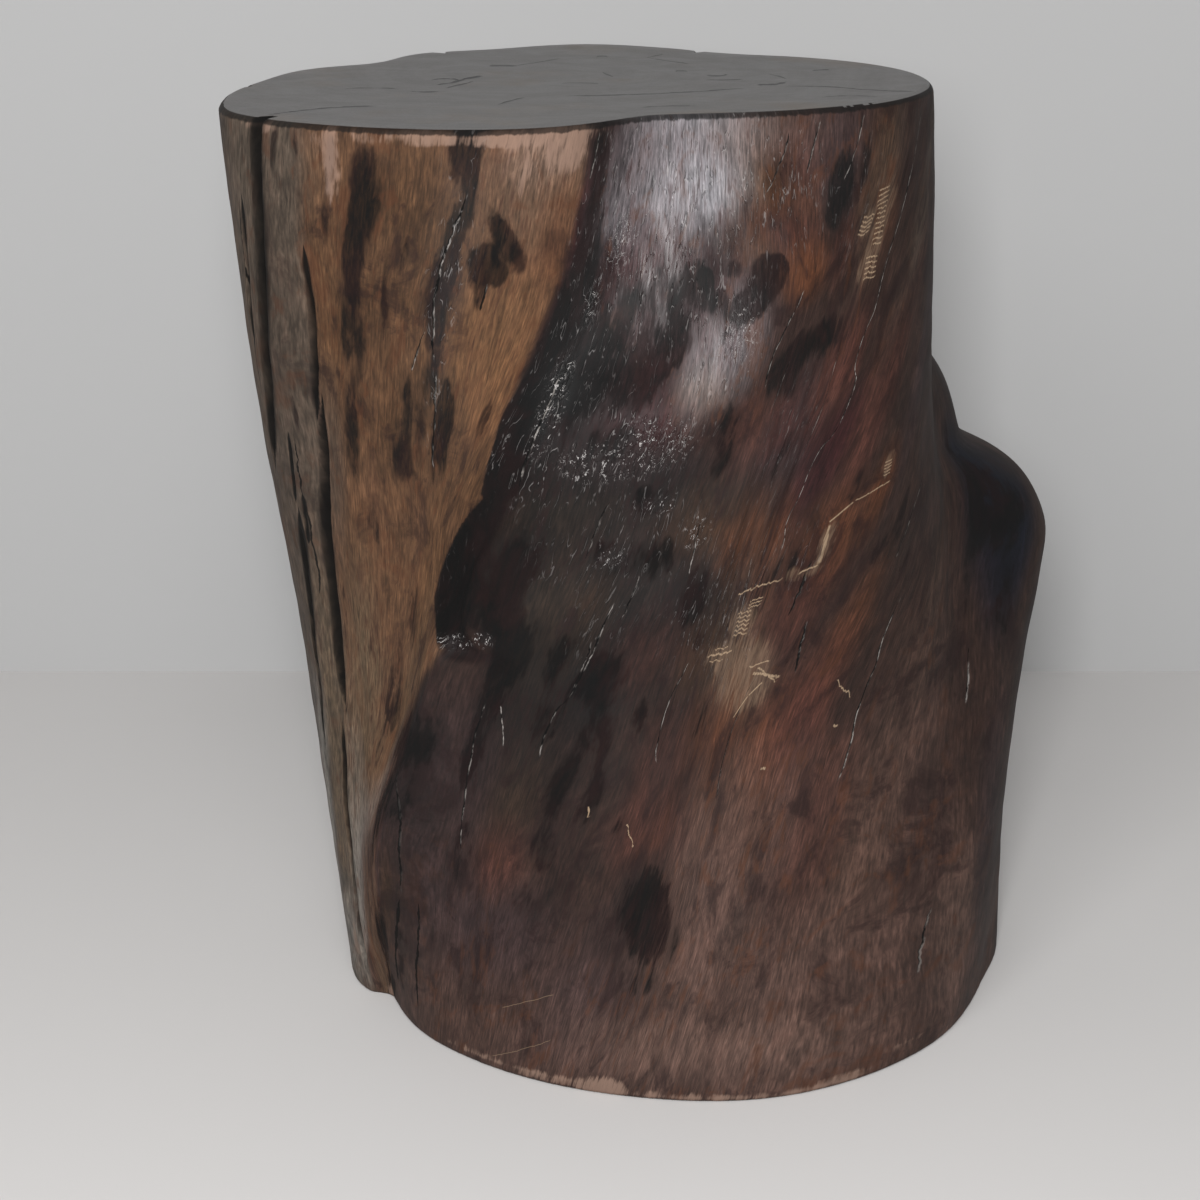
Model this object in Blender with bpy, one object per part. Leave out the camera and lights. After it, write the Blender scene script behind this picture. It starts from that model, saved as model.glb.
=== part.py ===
"""A stool sawn from one log of spiral-grained hardwood.

The log is one solid piece: a fluted trunk, sawn level at the seat and at the foot. Its form is a
loft along rails. Each rail is a line that a ridge or a valley of the trunk follows down the grain,
from its place round the seat to its place round the foot. A section at any height is one smooth
closed curve through all the rails. The burl, the hollow, the fold and the drying checks are then
raised from that surface or cut into it, in the same coordinates: a turn along the grain, which is
the direction that a grain line has at the seat, and a height.

The front looks along -Y, X runs to the right, and the seat faces +Z. The foot stands on Z = 0, and
the Z axis runs through the middle of the log's box.
"""

import math

import bmesh
import bpy

# Driving sizes, in metres
seat_height = 0.450
trunk_radius = 0.165
seat_lean = 0.045
rim_ease = 0.0035
foot_ease = 0.0025

# The burl: a knob on a buttress, at the right and a little behind, with a ridge running up from it
burl_widest_height = 0.220
burl_reach = 0.074
knob_rise = 0.050
ridge_rise = 0.047
ridge_reach = 0.034
ridge_softness = 0.018

# The hollow where the front left stem closes over the dark one
hollow_height = 0.254
hollow_half_rise = 0.052
hollow_depth = 0.018

# The fold across the dark stem, full above its line and drawn in below it
fold_left_height = 0.285
fold_climb = 0.125
fold_relief = 0.0050
fold_softness = 0.016
fold_fade = 0.075

# The drying checks, which open from the seat down the grain
check_width = 0.0034
check_depth = 0.009
check_fade = 0.030

# Turns, in degrees counted from +X towards +Y, are turns along the grain
burl_turn = 36
burl_half_turn = 24
ridge_half_turn = 22
buttress_half_turn = 44
hollow_turn = -84
hollow_half_turn = 9
hollow_column_turn = 2.2
fold_left_turn = -82
fold_right_turn = -16
full_turn = 360

# How square the knob's profile is: 2 is an ellipse, and more is fuller at the shoulder
knob_squareness = 2.4

# Heights where the rails' reaches are set, from the foot up, as shares of the seat's height
station_shares = (0.0, 0.40, 0.70, 1.0)

# Rails round the log: what each follows, its turn at the seat and at the foot, and its reach from
# the log's middle line at the stations, as shares of the trunk's radius
rail_shares = (
    ("dark stem, left", -64, -146, (0.965, 0.930, 0.870, 0.735)),
    ("dark stem, front", -50, -127, (0.970, 0.915, 0.900, 0.800)),
    ("dark stem, right front", -30, -100, (0.985, 0.930, 0.945, 0.895)),
    ("right flank", -9, -72, (1.015, 0.955, 0.955, 0.975)),
    ("right edge", 14, -40, (0.960, 0.975, 0.915, 1.000)),
    ("behind the edge", 30, -16, (0.920, 0.900, 0.880, 0.975)),
    ("burl's rail", 44, 4, (0.990, 0.905, 0.905, 0.920)),
    ("back right valley", 59, 20, (0.960, 0.900, 0.870, 0.855)),
    ("back stem, right", 75, 38, (0.960, 0.930, 0.925, 0.930)),
    ("back stem", 91, 56, (0.985, 0.970, 0.985, 1.005)),
    ("back dip", 111, 78, (0.950, 0.930, 0.915, 0.902)),
    ("back left stem", 125, 94, (0.965, 0.945, 0.930, 0.914)),
    ("back left notch", 144, 115, (0.930, 0.900, 0.860, 0.806)),
    ("left stem, back", 159, 132, (0.960, 0.950, 0.940, 0.903)),
    ("left stem", 179, 153, (0.995, 1.000, 0.990, 0.950)),
    ("left stem, front", 200, 172, (1.030, 1.025, 1.055, 1.065)),
    ("plate corner", 216, 187, (1.020, 1.030, 1.100, 1.148)),
    ("plate", 240, 191, (1.030, 1.020, 1.070, 1.082)),
    ("plate, right shoulder", 262, 197, (1.000, 0.990, 1.020, 0.960)),
    ("front valley", 283, 202, (0.935, 0.940, 0.880, 0.725)),
)

# The burl's profile below its widest: heights as shares of the widest's, from the foot up, and how
# far it stands out there, as shares of its reach
burl_profile_shares = (
    (0.0, 0.12),
    (0.23, 0.26),
    (0.46, 0.40),
    (0.70, 0.60),
    (0.85, 0.79),
    (1.0, 1.0),
)

# The fold's line: places along it from left to right, and how much of its climb it has made there
fold_line_shares = (
    (0.0, 0.0),
    (0.35, 0.10),
    (0.50, 0.24),
    (0.62, 0.62),
    (0.80, 0.95),
    (1.0, 1.05),
)

# Checks: turn along the grain, the heights where each ends and opens as shares of the seat's
# height, and its width and depth as shares of the named ones
check_shares = (
    ("left check", 222, 0.24, 1.0, 1.0, 1.0),
    ("plate's edge check", 237, 0.06, 0.86, 1.3, 0.9),
    ("left check, far", 206, 0.35, 0.90, 0.7, 0.7),
    ("back check", 121, 0.30, 1.0, 1.0, 1.0),
    ("back right check", 66, 0.55, 1.0, 0.9, 0.9),
)

# Columns round the log, and those across the hollow as steps from its middle
plain_columns = 80
hollow_columns = (-3, -2, -1, 0, 1, 2, 3)

# Rings between the levels that the form needs
buttress_rings = 19
knob_rings = 9
upper_rings = 15
ease_rings = 3


def bump(distance, half_width):
    """A rounded hill: one at its middle, falling to nothing at its half width."""
    share = min(abs(distance) / half_width, 1.0)
    return (1.0 - share * share) ** 2


def rise(distance, softness):
    """A smooth step from nothing to one, half way up where the distance is zero."""
    return 0.5 + 0.5 * math.tanh(distance / softness)


def between(start, end, share):
    return start + (end - start) * share


def smooth_curve(place, places, values):
    """The value at one place of a smooth curve through values at rising places."""
    last = len(places) - 1
    span = max(index for index in range(last) if index == 0 or places[index] <= place)
    slopes = []
    for knot in (span, span + 1):
        before = max(knot - 1, 0)
        after = min(knot + 1, last)
        slopes.append((values[after] - values[before]) / (places[after] - places[before]))
    width = places[span + 1] - places[span]
    share = (place - places[span]) / width
    ease = share * share * (3 - 2 * share)
    start_bend = slopes[0] * width * share * (1 - share) ** 2
    end_bend = slopes[1] * width * share * share * (share - 1)
    return between(values[span], values[span + 1], ease) + start_bend + end_bend


def rails_with_overlap():
    """The rails once round the log, with copies one full turn before and after."""
    rails = []
    for lap in (-1, 0, 1):
        for name, seat_turn, foot_turn, reach_shares in rail_shares:
            rails.append((seat_turn + lap * full_turn, foot_turn + lap * full_turn, reach_shares))
    return rails


rails = rails_with_overlap()
seat_turns = [rail[0] for rail in rails]


def turn_at(grain_turn, height):
    """The direction, seen from above, of a grain line at a height."""
    foot_turn = smooth_curve(grain_turn, seat_turns, [rail[1] for rail in rails])
    return between(foot_turn, grain_turn, height / seat_height)


def turn_gap(first, second):
    """The shorter way round from one turn to another."""
    half_turn = full_turn / 2
    return (first - second + half_turn) % full_turn - half_turn


def trunk_reach(grain_turn, height):
    station_reaches = []
    for station in range(len(station_shares)):
        shares = [rail[2][station] for rail in rails]
        station_reaches.append(smooth_curve(grain_turn, seat_turns, shares))
    return trunk_radius * smooth_curve(height / seat_height, station_shares, station_reaches)


def burl_raise(grain_turn, height):
    """A buttress rising to a knob, whose top is a quarter of an ellipse, and the ridge above it."""
    gap = turn_gap(grain_turn, burl_turn)
    above = height - burl_widest_height
    below_ridge_top = knob_rise + ridge_rise - above
    ridge = ridge_reach * bump(gap, ridge_half_turn) * rise(below_ridge_top, ridge_softness)
    if above >= knob_rise:
        return ridge
    if above >= 0.0:
        fullness = (1.0 - (above / knob_rise) ** knob_squareness) ** (1.0 / knob_squareness)
        return max(ridge, burl_reach * fullness * bump(gap, burl_half_turn))
    climb = height / burl_widest_height
    heights = [share for share, reach in burl_profile_shares]
    reaches = [reach for share, reach in burl_profile_shares]
    half_turn = between(buttress_half_turn, burl_half_turn, climb)
    return burl_reach * smooth_curve(climb, heights, reaches) * bump(gap, half_turn)


def hollow_sink(grain_turn, height):
    across = bump(turn_gap(grain_turn, hollow_turn), hollow_half_turn)
    return hollow_depth * across * bump(height - hollow_height, hollow_half_rise)


def fold_raise(grain_turn, height):
    gap = turn_gap(grain_turn, fold_left_turn)
    span = fold_right_turn - fold_left_turn
    along = gap / span
    if along < 0.0 or along > 1.0:
        return 0.0
    places = [place for place, climb in fold_line_shares]
    climbs = [climb for place, climb in fold_line_shares]
    above = height - fold_left_height - fold_climb * smooth_curve(along, places, climbs)
    swing = math.tanh(above / fold_softness) * bump(above, fold_fade)
    return fold_relief * swing * math.sin(math.pi * along)


def check_sink(check, height):
    name, grain_turn, end_share, open_share, width_share, depth_share = check
    from_end = height - end_share * seat_height
    from_opening = open_share * seat_height - height
    depth = min(max(from_end / check_fade, 0.0), 1.0)
    if open_share < 1.0:
        depth = depth * min(max(from_opening / check_fade, 0.0), 1.0)
    return check_depth * depth_share * depth


def ease_sink(height):
    """How far a small round at the seat's rim, or at the foot's, draws the side in."""
    sink = 0.0
    for ease, from_edge in ((rim_ease, seat_height - height), (foot_ease, height)):
        if from_edge < ease:
            sink = ease - math.sqrt(max(ease * ease - (ease - from_edge) ** 2, 0.0))
    return sink


def ring_heights():
    """Ring heights from the foot up: close together on the eased edges and round the knob's top."""
    quarter = math.pi / 2
    heights = []
    for step in range(ease_rings):
        heights.append(foot_ease * (1.0 - math.cos(quarter * step / ease_rings)))
    for step in range(buttress_rings):
        heights.append(between(foot_ease, burl_widest_height, step / buttress_rings))
    for step in range(knob_rings):
        heights.append(burl_widest_height + knob_rise * math.sin(quarter * step / knob_rings))
    for step in range(upper_rings):
        knob_top = burl_widest_height + knob_rise
        heights.append(between(knob_top, seat_height - rim_ease, step / upper_rings))
    for step in range(ease_rings + 1):
        heights.append(seat_height - rim_ease * (1.0 - math.sin(quarter * step / ease_rings)))
    return heights


def log_columns():
    """Columns round the log as pairs: a turn along the grain, and the check it is the bottom of.

    Each check has a column at its bottom and one at each edge, and plain columns keep clear of it.
    """
    columns = []
    for check in check_shares:
        half_width = math.degrees(check_width * check[4] / trunk_radius) / 2
        columns.append((check[1] - half_width, None))
        columns.append((check[1], check))
        columns.append((check[1] + half_width, None))
    plain_turns = [hollow_turn + step * hollow_column_turn for step in hollow_columns]
    first_turn = hollow_turn + hollow_half_turn
    step_turn = (full_turn - 2 * hollow_half_turn) / plain_columns
    plain_turns += [first_turn + step * step_turn for step in range(plain_columns + 1)]
    for turn in plain_turns:
        if all(abs(turn_gap(turn, check[1])) > step_turn / 2 for check in check_shares):
            columns.append((turn, None))
    return sorted(columns, key=lambda column: (column[0] - rail_shares[0][1]) % full_turn)


def point_on_log(column, height):
    grain_turn, check = column
    reach = trunk_reach(grain_turn, height) + burl_raise(grain_turn, height)
    reach = reach - hollow_sink(grain_turn, height) + fold_raise(grain_turn, height)
    if check:
        reach = reach - check_sink(check, height)
    reach = reach - ease_sink(height)
    direction = math.radians(turn_at(grain_turn, height))
    middle = -seat_lean * height / seat_height
    return (middle + reach * math.cos(direction), reach * math.sin(direction), height)


def middle_of_box(points):
    xs = [point[0] for point in points]
    ys = [point[1] for point in points]
    return (min(xs) + max(xs)) / 2, (min(ys) + max(ys)) / 2


def log_mesh(name):
    """Lofts the rings into the log's side, and closes it with the sawn seat and foot."""
    columns = log_columns()
    rows = [[point_on_log(column, height) for column in columns] for height in ring_heights()]
    middle_x, middle_y = middle_of_box([point for row in rows for point in row])
    shape = bmesh.new()
    rings = []
    for row in rows:
        rings.append([shape.verts.new((x - middle_x, y - middle_y, z)) for x, y, z in row])
    for lower, upper in zip(rings, rings[1:]):
        for step in range(len(columns)):
            after = (step + 1) % len(columns)
            shape.faces.new((lower[step], lower[after], upper[after], upper[step]))
    shape.faces.new(reversed(rings[0]))
    shape.faces.new(rings[-1])
    mesh = bpy.data.meshes.new(name)
    shape.to_mesh(mesh)
    shape.free()
    mesh.shade_smooth()
    mesh.set_sharp_from_angle(angle=math.radians(full_turn / 8))
    print(name, "middle of its box before it is centred:", round(middle_x, 5), round(middle_y, 5))
    return mesh


def wood_material():
    material = bpy.data.materials.new("dark varnished hardwood")
    material.use_nodes = True
    shader = material.node_tree.nodes["Principled BSDF"]
    shader.inputs["Base Color"].default_value = (0.055, 0.030, 0.020, 1.0)
    shader.inputs["Roughness"].default_value = 0.38
    shader.inputs["Metallic"].default_value = 0.0
    return material


for thing in list(bpy.data.objects):
    bpy.data.objects.remove(thing, do_unlink=True)

trunk = bpy.data.objects.new("trunk", log_mesh("trunk"))
trunk.data.materials.append(wood_material())
bpy.context.collection.objects.link(trunk)
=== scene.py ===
# %% [markdown]
# # A log stool, from its sawn ends to its varnish
#
# The stool is one piece of wood, so there is nothing to assemble here. What makes it look real is
# its surface: the way the grain turns round the trunk, the drying checks that follow that grain,
# the stains and knots, the thin varnish and the greyer sawn seat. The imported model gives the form
# and the size. This script dresses it in four steps: it reads the form and sculpts the relief on
# it, moves a fine mesh there, paints where each tone of the wood lies, and builds the varnished
# wood as shader nodes.

import math

import bmesh
import bpy
import numpy as np
from mathutils import Euler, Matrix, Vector
from mathutils.bvhtree import BVHTree


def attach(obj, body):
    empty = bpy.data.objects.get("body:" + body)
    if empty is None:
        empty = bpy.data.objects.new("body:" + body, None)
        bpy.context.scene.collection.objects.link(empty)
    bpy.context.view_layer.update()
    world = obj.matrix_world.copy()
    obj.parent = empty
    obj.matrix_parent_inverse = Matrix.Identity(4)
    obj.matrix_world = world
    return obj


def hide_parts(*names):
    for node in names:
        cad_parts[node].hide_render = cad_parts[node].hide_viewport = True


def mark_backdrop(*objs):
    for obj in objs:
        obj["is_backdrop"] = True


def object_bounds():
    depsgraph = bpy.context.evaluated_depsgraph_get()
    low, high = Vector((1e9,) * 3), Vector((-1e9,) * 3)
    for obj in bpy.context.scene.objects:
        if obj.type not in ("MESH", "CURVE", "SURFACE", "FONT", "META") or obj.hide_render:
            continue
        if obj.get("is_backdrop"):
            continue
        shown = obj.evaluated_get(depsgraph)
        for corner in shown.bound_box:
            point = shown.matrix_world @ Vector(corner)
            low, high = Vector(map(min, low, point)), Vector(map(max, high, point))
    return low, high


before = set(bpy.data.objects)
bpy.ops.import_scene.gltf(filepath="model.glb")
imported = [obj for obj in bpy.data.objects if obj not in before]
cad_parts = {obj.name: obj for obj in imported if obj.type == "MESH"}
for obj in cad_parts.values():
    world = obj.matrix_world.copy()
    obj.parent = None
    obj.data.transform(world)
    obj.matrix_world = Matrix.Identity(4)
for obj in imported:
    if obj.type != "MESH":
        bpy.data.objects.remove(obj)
cad_low, cad_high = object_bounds()
cad_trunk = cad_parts["trunk"]
seat_height = cad_high.z
print("the packed log measures", [round(size, 4) for size in cad_high - cad_low])

# %% [markdown]
# ## Camera
#
# The camera stands a little above the seat and looks down at the log. Its height, tilt and lens are
# the ones at which the level seat and the level foot both come out with the outlines that they have
# in the photograph.

# %% Camera
camera_place = Vector((-0.0300, -1.250, 0.6035))
camera_tilt = math.radians(18.2)
focal_pixels = 2617.0
picture_pixels = 1200.0
sensor_width = 36.0
camera_turn = Euler((math.pi / 2 - camera_tilt, 0.0, 0.0))

camera_data = bpy.data.cameras.new("camera")
camera_data.sensor_width = sensor_width
camera_data.lens = focal_pixels / picture_pixels * sensor_width
camera = bpy.data.objects.new("camera", camera_data)
camera.location = camera_place
camera.rotation_euler = camera_turn
bpy.context.collection.objects.link(camera)
bpy.context.scene.camera = camera
bpy.context.scene.view_settings.view_transform = "Standard"
print("lens", round(camera_data.lens, 1), "mm")

# %% [markdown]
# ## The way the grain runs
#
# The trunk grew with a twist, and every stain, check and ridge on it follows that twist. So the
# script names each grain line by its direction at the seat, and keeps a short table of where that
# line lies lower down. All later steps place things by grain line and height instead of by X and Y.
# Directions are in degrees from +X towards +Y, and 270 is the front.

# %% Grain lines
full_turn = 360.0
half_turn = full_turn / 2
grain_heights = np.array((0.0, 0.2, 0.4, 0.6, 0.8, 1.0)) * seat_height
# Each row is one line: its directions at the seat, at four heights on the way down, and at the foot
grain_table = np.array((
    (223, 214.5, 207.5, 203, 193, 185),
    (229, 224.5, 219, 212.7, 204.5, 198.5),
    (237.5, 231, 224.5, 218, 208, 200.2),
    (252, 244, 237, 226, 210, 201.4),
    (270, 259.5, 242.5, 229, 211.7, 202.4),
    (278, 267, 253, 240, 229, 220),
    (294, 284, 271, 253.5, 240, 230),
    (313, 301.5, 286, 272, 258, 246),
    (328, 311, 291.5, 278, 265, 252),
    (348, 321, 297.5, 284, 272, 260),
    (378, 360, 338, 309, 294, 282),
    (396, 380, 364, 341, 331, 324),
    (435, 428, 420, 413, 406, 398),
    (480, 473, 466, 460, 453, 446),
    (525, 519, 513, 507, 501, 496),
    (560, 554, 547, 541, 535, 528),
))[:, ::-1]
grain_laps = np.vstack([grain_table + lap * full_turn for lap in (-2, -1, 0, 1)])
back_seam = 120.0


def smooth_through(places, values, at):
    """A smooth curve through values at rising places, read at other places. It never overshoots."""
    rises = np.diff(values) / np.diff(places)
    before, after = rises[:-1], rises[1:]
    same_way = before * after > 0
    both = np.where(same_way, before + after, 1)
    middle_slopes = np.where(same_way, 2 * before * after / both, 0)
    slopes = np.concatenate([rises[:1], middle_slopes, rises[-1:]])
    span = np.clip(np.searchsorted(places, at, side="right") - 1, 0, len(places) - 2)
    width = places[span + 1] - places[span]
    share = (at - places[span]) / width
    ease = share * share * (3 - 2 * share)
    bend = share * (1 - share) * width * (slopes[span] * (1 - share) - slopes[span + 1] * share)
    return values[span] + (values[span + 1] - values[span]) * ease + bend


def wander(line, height):
    """The small wavering of the fibres, in degrees, which every line shares with its neighbours."""
    slow = np.sin(height * 31 + np.radians(line) * 3) * 0.35
    quick = np.sin(height * 83 + np.radians(line) * 8 + 1.7) * 0.16
    return slow + quick


def grain_direction(line, height):
    """The direction in which an array of grain lines lies at one height."""
    at_height = np.array([smooth_through(grain_heights, lap, height) for lap in grain_laps])
    return smooth_through(grain_laps[:, -1], at_height, line + wander(line, height))


def grain_line(direction, height):
    """The grain line that passes one direction at one height, counted from the back seam."""
    lines = np.arange(back_seam, back_seam + full_turn, 0.5)
    directions = grain_direction(lines, height)
    turned = directions[0] + (direction - directions[0]) % full_turn
    return float(np.interp(turned, directions, lines))


print(len(grain_table), "grain lines; the one at the front of the seat meets the foot at",
      round(float(grain_direction(np.array([270.0]), 0.0)[0]), 1), "degrees")

# %% [markdown]
# ## Reading the form
#
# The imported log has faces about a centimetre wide. A copy of it is welded and rounded by a
# Subdivision Surface, and serves as a guide that is thrown away later. Rays shot at the guide from
# outside tell how far the log reaches from its own leaning middle line, for each ring and
# direction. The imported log's checks are filled here, because finer ones are cut in their place
# further on.

# %% A rounded guide
guide_levels = 2
bpy.ops.object.select_all(action="DESELECT")
guide = cad_trunk.copy()
guide.data = cad_trunk.data.copy()
guide.name = "guide"
guide.parent = None
bpy.context.collection.objects.link(guide)
bpy.context.view_layer.objects.active = guide
guide.select_set(True)
bpy.ops.object.mode_set(mode="EDIT")
bpy.ops.mesh.select_all(action="SELECT")
bpy.ops.mesh.remove_doubles(threshold=1e-6)
bpy.ops.mesh.tris_convert_to_quads()
bpy.ops.object.mode_set(mode="OBJECT")
rounding = guide.modifiers.new("rounding", "SUBSURF")
rounding.levels = rounding.render_levels = guide_levels
bpy.ops.object.modifier_apply(modifier=rounding.name)
guide_tree = BVHTree.FromPolygons(
    [vert.co.copy() for vert in guide.data.vertices],
    [list(face.vertices) for face in guide.data.polygons])
print("the guide has", len(guide.data.polygons), "faces")
bpy.data.objects.remove(guide)

column_count = 424
crowded_bands = ((212.0, 408.0, 1.0), (218.0, 235.0, 4.0), (262.0, 272.0, 0.8))
line_steps = np.arange(back_seam, back_seam + full_turn, 0.02)
crowding = np.ones(len(line_steps))
for first, last, more in crowded_bands:
    crowding[(line_steps > first) & (line_steps < last)] += more
share_so_far = np.concatenate([[0], np.cumsum(crowding)]) / crowding.sum()
step_ends = np.append(line_steps, back_seam + full_turn)
column_lines = np.interp(np.arange(column_count) / column_count, share_so_far, step_ends)

foot_round = 0.0025
rim_round = 0.0035
knob_low = 0.205
knob_high = 0.272
quarter = math.pi / 2
foot_steps = foot_round * (1 - np.cos(np.linspace(0, quarter, 4, endpoint=False)))
lower_steps = np.linspace(foot_round, knob_low, 82, endpoint=False)
knob_steps = np.linspace(knob_low, knob_high, 38, endpoint=False)
upper_steps = np.linspace(knob_high, seat_height - rim_round, 76, endpoint=False)
rim_steps = seat_height - rim_round * (1 - np.sin(np.linspace(0, quarter, 6)))
ring_heights = np.concatenate([foot_steps, lower_steps, knob_steps, upper_steps, rim_steps])
print(len(column_lines), "columns and", len(ring_heights), "rings")

# %% Reach of the form
seat_middle = Vector((-0.0360, 0.0, 0.0))
foot_middle = Vector((0.0090, 0.0, 0.0))
ray_start = 0.5
even_step = 1.0
closing_steps = 2
smooth_line = 1.1
smooth_height = 0.0028


def middle_line(height):
    return foot_middle.lerp(seat_middle, float(height) / seat_height)


def bell_weights(gaps, width, spacing):
    """Rows of weights that even values out over a distance, whatever their spacing is."""
    weights = np.exp(-0.5 * (gaps / width) ** 2) * spacing
    return weights / weights.sum(axis=1, keepdims=True)


even_lines = np.arange(back_seam, back_seam + full_turn, even_step)
level_heights = np.clip(ring_heights, foot_round, seat_height - rim_round)
even_reach = np.zeros((len(ring_heights), len(even_lines)))
for ring, level in enumerate(level_heights):
    middle = middle_line(level) + Vector((0, 0, level))
    for column, direction in enumerate(np.radians(grain_direction(even_lines, ring_heights[ring]))):
        outward = Vector((math.cos(direction), math.sin(direction), 0.0))
        hit = guide_tree.ray_cast(middle + outward * ray_start, -outward)[0]
        even_reach[ring, column] = (hit - middle).length

around = range(-closing_steps, closing_steps + 1)
filled = np.max([np.roll(even_reach, step, axis=1) for step in around], axis=0)
filled = np.min([np.roll(filled, step, axis=1) for step in around], axis=0)
line_gaps = (even_lines[:, None] - even_lines[None, :] + half_turn) % full_turn - half_turn
filled = filled @ bell_weights(line_gaps, smooth_line, even_step).T
height_gaps = level_heights[:, None] - level_heights[None, :]
ring_spacing = np.gradient(ring_heights)[None, :]
steady = bell_weights(height_gaps, smooth_height, ring_spacing)
drift = (steady @ level_heights) - level_heights
tiny_rise = 1e-9
rising_heights = np.maximum.accumulate(ring_heights + np.arange(len(ring_heights)) * tiny_rise)
slope = np.gradient(filled, rising_heights, axis=0)
filled = steady @ filled - drift[:, None] * slope
lap_lines = np.append(even_lines, back_seam + full_turn)
form = np.array([np.interp(column_lines, lap_lines, np.append(row, row[0])) for row in filled])
print("the form reaches", form.min().round(4), "to", form.max().round(4), "m from its middle line")

# %% A place on the log for a place in the picture
# Many marks below are listed by where they are seen in the picture. This finds them on the log.
slide_share = 0.004


def on_log(x, y):
    """The grain line and height at one place of the picture. One just off the log slides in."""
    hit = None
    while hit is None:
        sight = Vector((x - picture_pixels / 2, picture_pixels / 2 - y, -focal_pixels)).normalized()
        sight.rotate(camera_turn)
        hit = guide_tree.ray_cast(camera_place, sight)[0]
        x += (picture_pixels / 2 - x) * slide_share
        y += (picture_pixels / 2 - y) * slide_share
    level = min(hit.z, seat_height - rim_round)
    offset = hit - middle_line(level)
    direction = math.degrees(math.atan2(offset.y, offset.x))
    return grain_line(direction, level), level


big_knot = on_log(652, 920)
print("the big knot near the foot lies on line and height", [round(value, 3) for value in big_knot])

# %% [markdown]
# ## Relief
#
# Everything in this step is a change in reach, in metres, on the grid of rings and columns, so it
# could also be sculpted by hand with a crease brush. Code was chosen because a drying check has to
# run exactly along the grain and its walls have to be steep: each check is a row of columns that is
# pushed in. A check is deepest where the wood dried fastest, at the sawn seat, and closes lower
# down.

# %% The grid of lines and heights
line_grid = np.broadcast_to(column_lines, form.shape)
height_grid = np.broadcast_to(ring_heights[:, None], form.shape)
directions = np.array([grain_direction(column_lines, height) for height in ring_heights])
wide_lines = np.concatenate(
    [column_lines[-1:] - full_turn, column_lines, column_lines[:1] + full_turn])
wide_directions = np.column_stack(
    [directions[:, -1] - full_turn, directions, directions[:, 0] + full_turn])
line_width = np.gradient(wide_directions, wide_lines, axis=1)[:, 1:-1]
metres_per_line = np.radians(line_width) * form
front_width = metres_per_line[:, 100:300].mean() * 1000
print("one degree of grain is", round(front_width, 2), "mm wide at the front")


def ease_between(low, high, value):
    """0 below low, 1 above high, and a soft S between."""
    share = np.clip((value - low) / (high - low), 0, 1)
    return share * share * (3 - 2 * share)


def between_heights(low, high, fade_low, fade_high):
    """1 between two heights, fading to 0 over a given height at either end."""
    opened = ease_between(low, low + fade_low, height_grid)
    return opened * (1 - ease_between(high - fade_high, high, height_grid))


def path_of(marks):
    """A path of picture places as lists of heights, rising, and of grain lines."""
    found = sorted((height, line) for line, height in (on_log(*mark) for mark in marks))
    return np.array([height for height, _ in found]), np.array([line for _, line in found])


def straightened(path):
    """The same path as a gentle curve, because a drying check runs straight along the grain."""
    heights, lines = path
    bend = np.polyfit(heights, lines, min(2, len(heights) - 1))
    return heights, np.polyval(bend, heights)


def gap_to(path):
    """How far each point lies to the right of a path, in metres."""
    heights, lines = path
    at = np.interp(height_grid, heights, lines)
    return ((line_grid - at + half_turn) % full_turn - half_turn) * metres_per_line


def groove(gap, width, depth):
    """A check with steep walls: full depth inside its width, and eased lips."""
    return -depth * (1 - ease_between(width * 0.25, width * 0.75, np.abs(gap)))


# %% Drying checks on the left
# Each: places down the picture, width, depth, over what height it opens at its lower and upper end,
# and how wide its dark walls are, as a share of its width. One that opens at once at its upper end
# runs out through the seat
opens_at_once = 0.01
cut_past_seat = 0.02
seen_checks = (
    (((264, 118), (261, 150), (260, 180), (264, 270), (267, 360), (271, 420), (277, 478)),
     0.0054, 0.0075, 0.050, 0.001, 1.50),
    (((296, 500), (303, 545), (309, 581), (316, 640), (323, 710), (328, 756)),
     0.0022, 0.0050, 0.040, 0.040, 1.6),
    (((301, 492), (305, 515), (308, 545)), 0.0014, 0.0030, 0.020, 0.020, 1.1),
    (((303, 240), (308, 275), (312, 310), (314, 370), (317, 425)),
     0.0030, 0.0060, 0.030, 0.045, 1.0),
    (((323, 385), (326, 430), (327, 480), (330, 530), (333, 583), (339, 630), (344, 680),
      (344, 720)), 0.0042, 0.0080, 0.030, 0.040, 1.0),
    (((342, 712), (343, 760), (346, 800), (350, 845), (357, 905), (361, 940), (366, 968)),
     0.0024, 0.0050, 0.010, 0.030, 1.1),
    (((324, 745), (329, 790), (333, 826)), 0.0018, 0.0030, 0.020, 0.020, 1.1),
    (((241, 190), (245, 250), (250, 300), (256, 350)), 0.0028, 0.0026, 0.030, 0.030, 1.1),
    (((287, 430), (291, 470), (296, 505)), 0.0010, 0.0014, 0.015, 0.015, 1.1),
)
relief = np.zeros(form.shape)
check_paths = [straightened(path_of(check[0])) for check in seen_checks]
for path, (_, width, depth, fade_low, fade_high, _) in zip(check_paths, seen_checks):
    top = path[0][-1] + (cut_past_seat if fade_high < opens_at_once else 0)
    open_here = between_heights(path[0][0], top, fade_low, fade_high)
    width_here = width * (0.35 + 0.65 * open_here)
    relief = np.minimum(relief, groove(gap_to(path), width_here, depth) * open_here)
print(len(seen_checks), "checks cut, the deepest", round(-relief.min() * 1000, 1), "mm")

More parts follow.
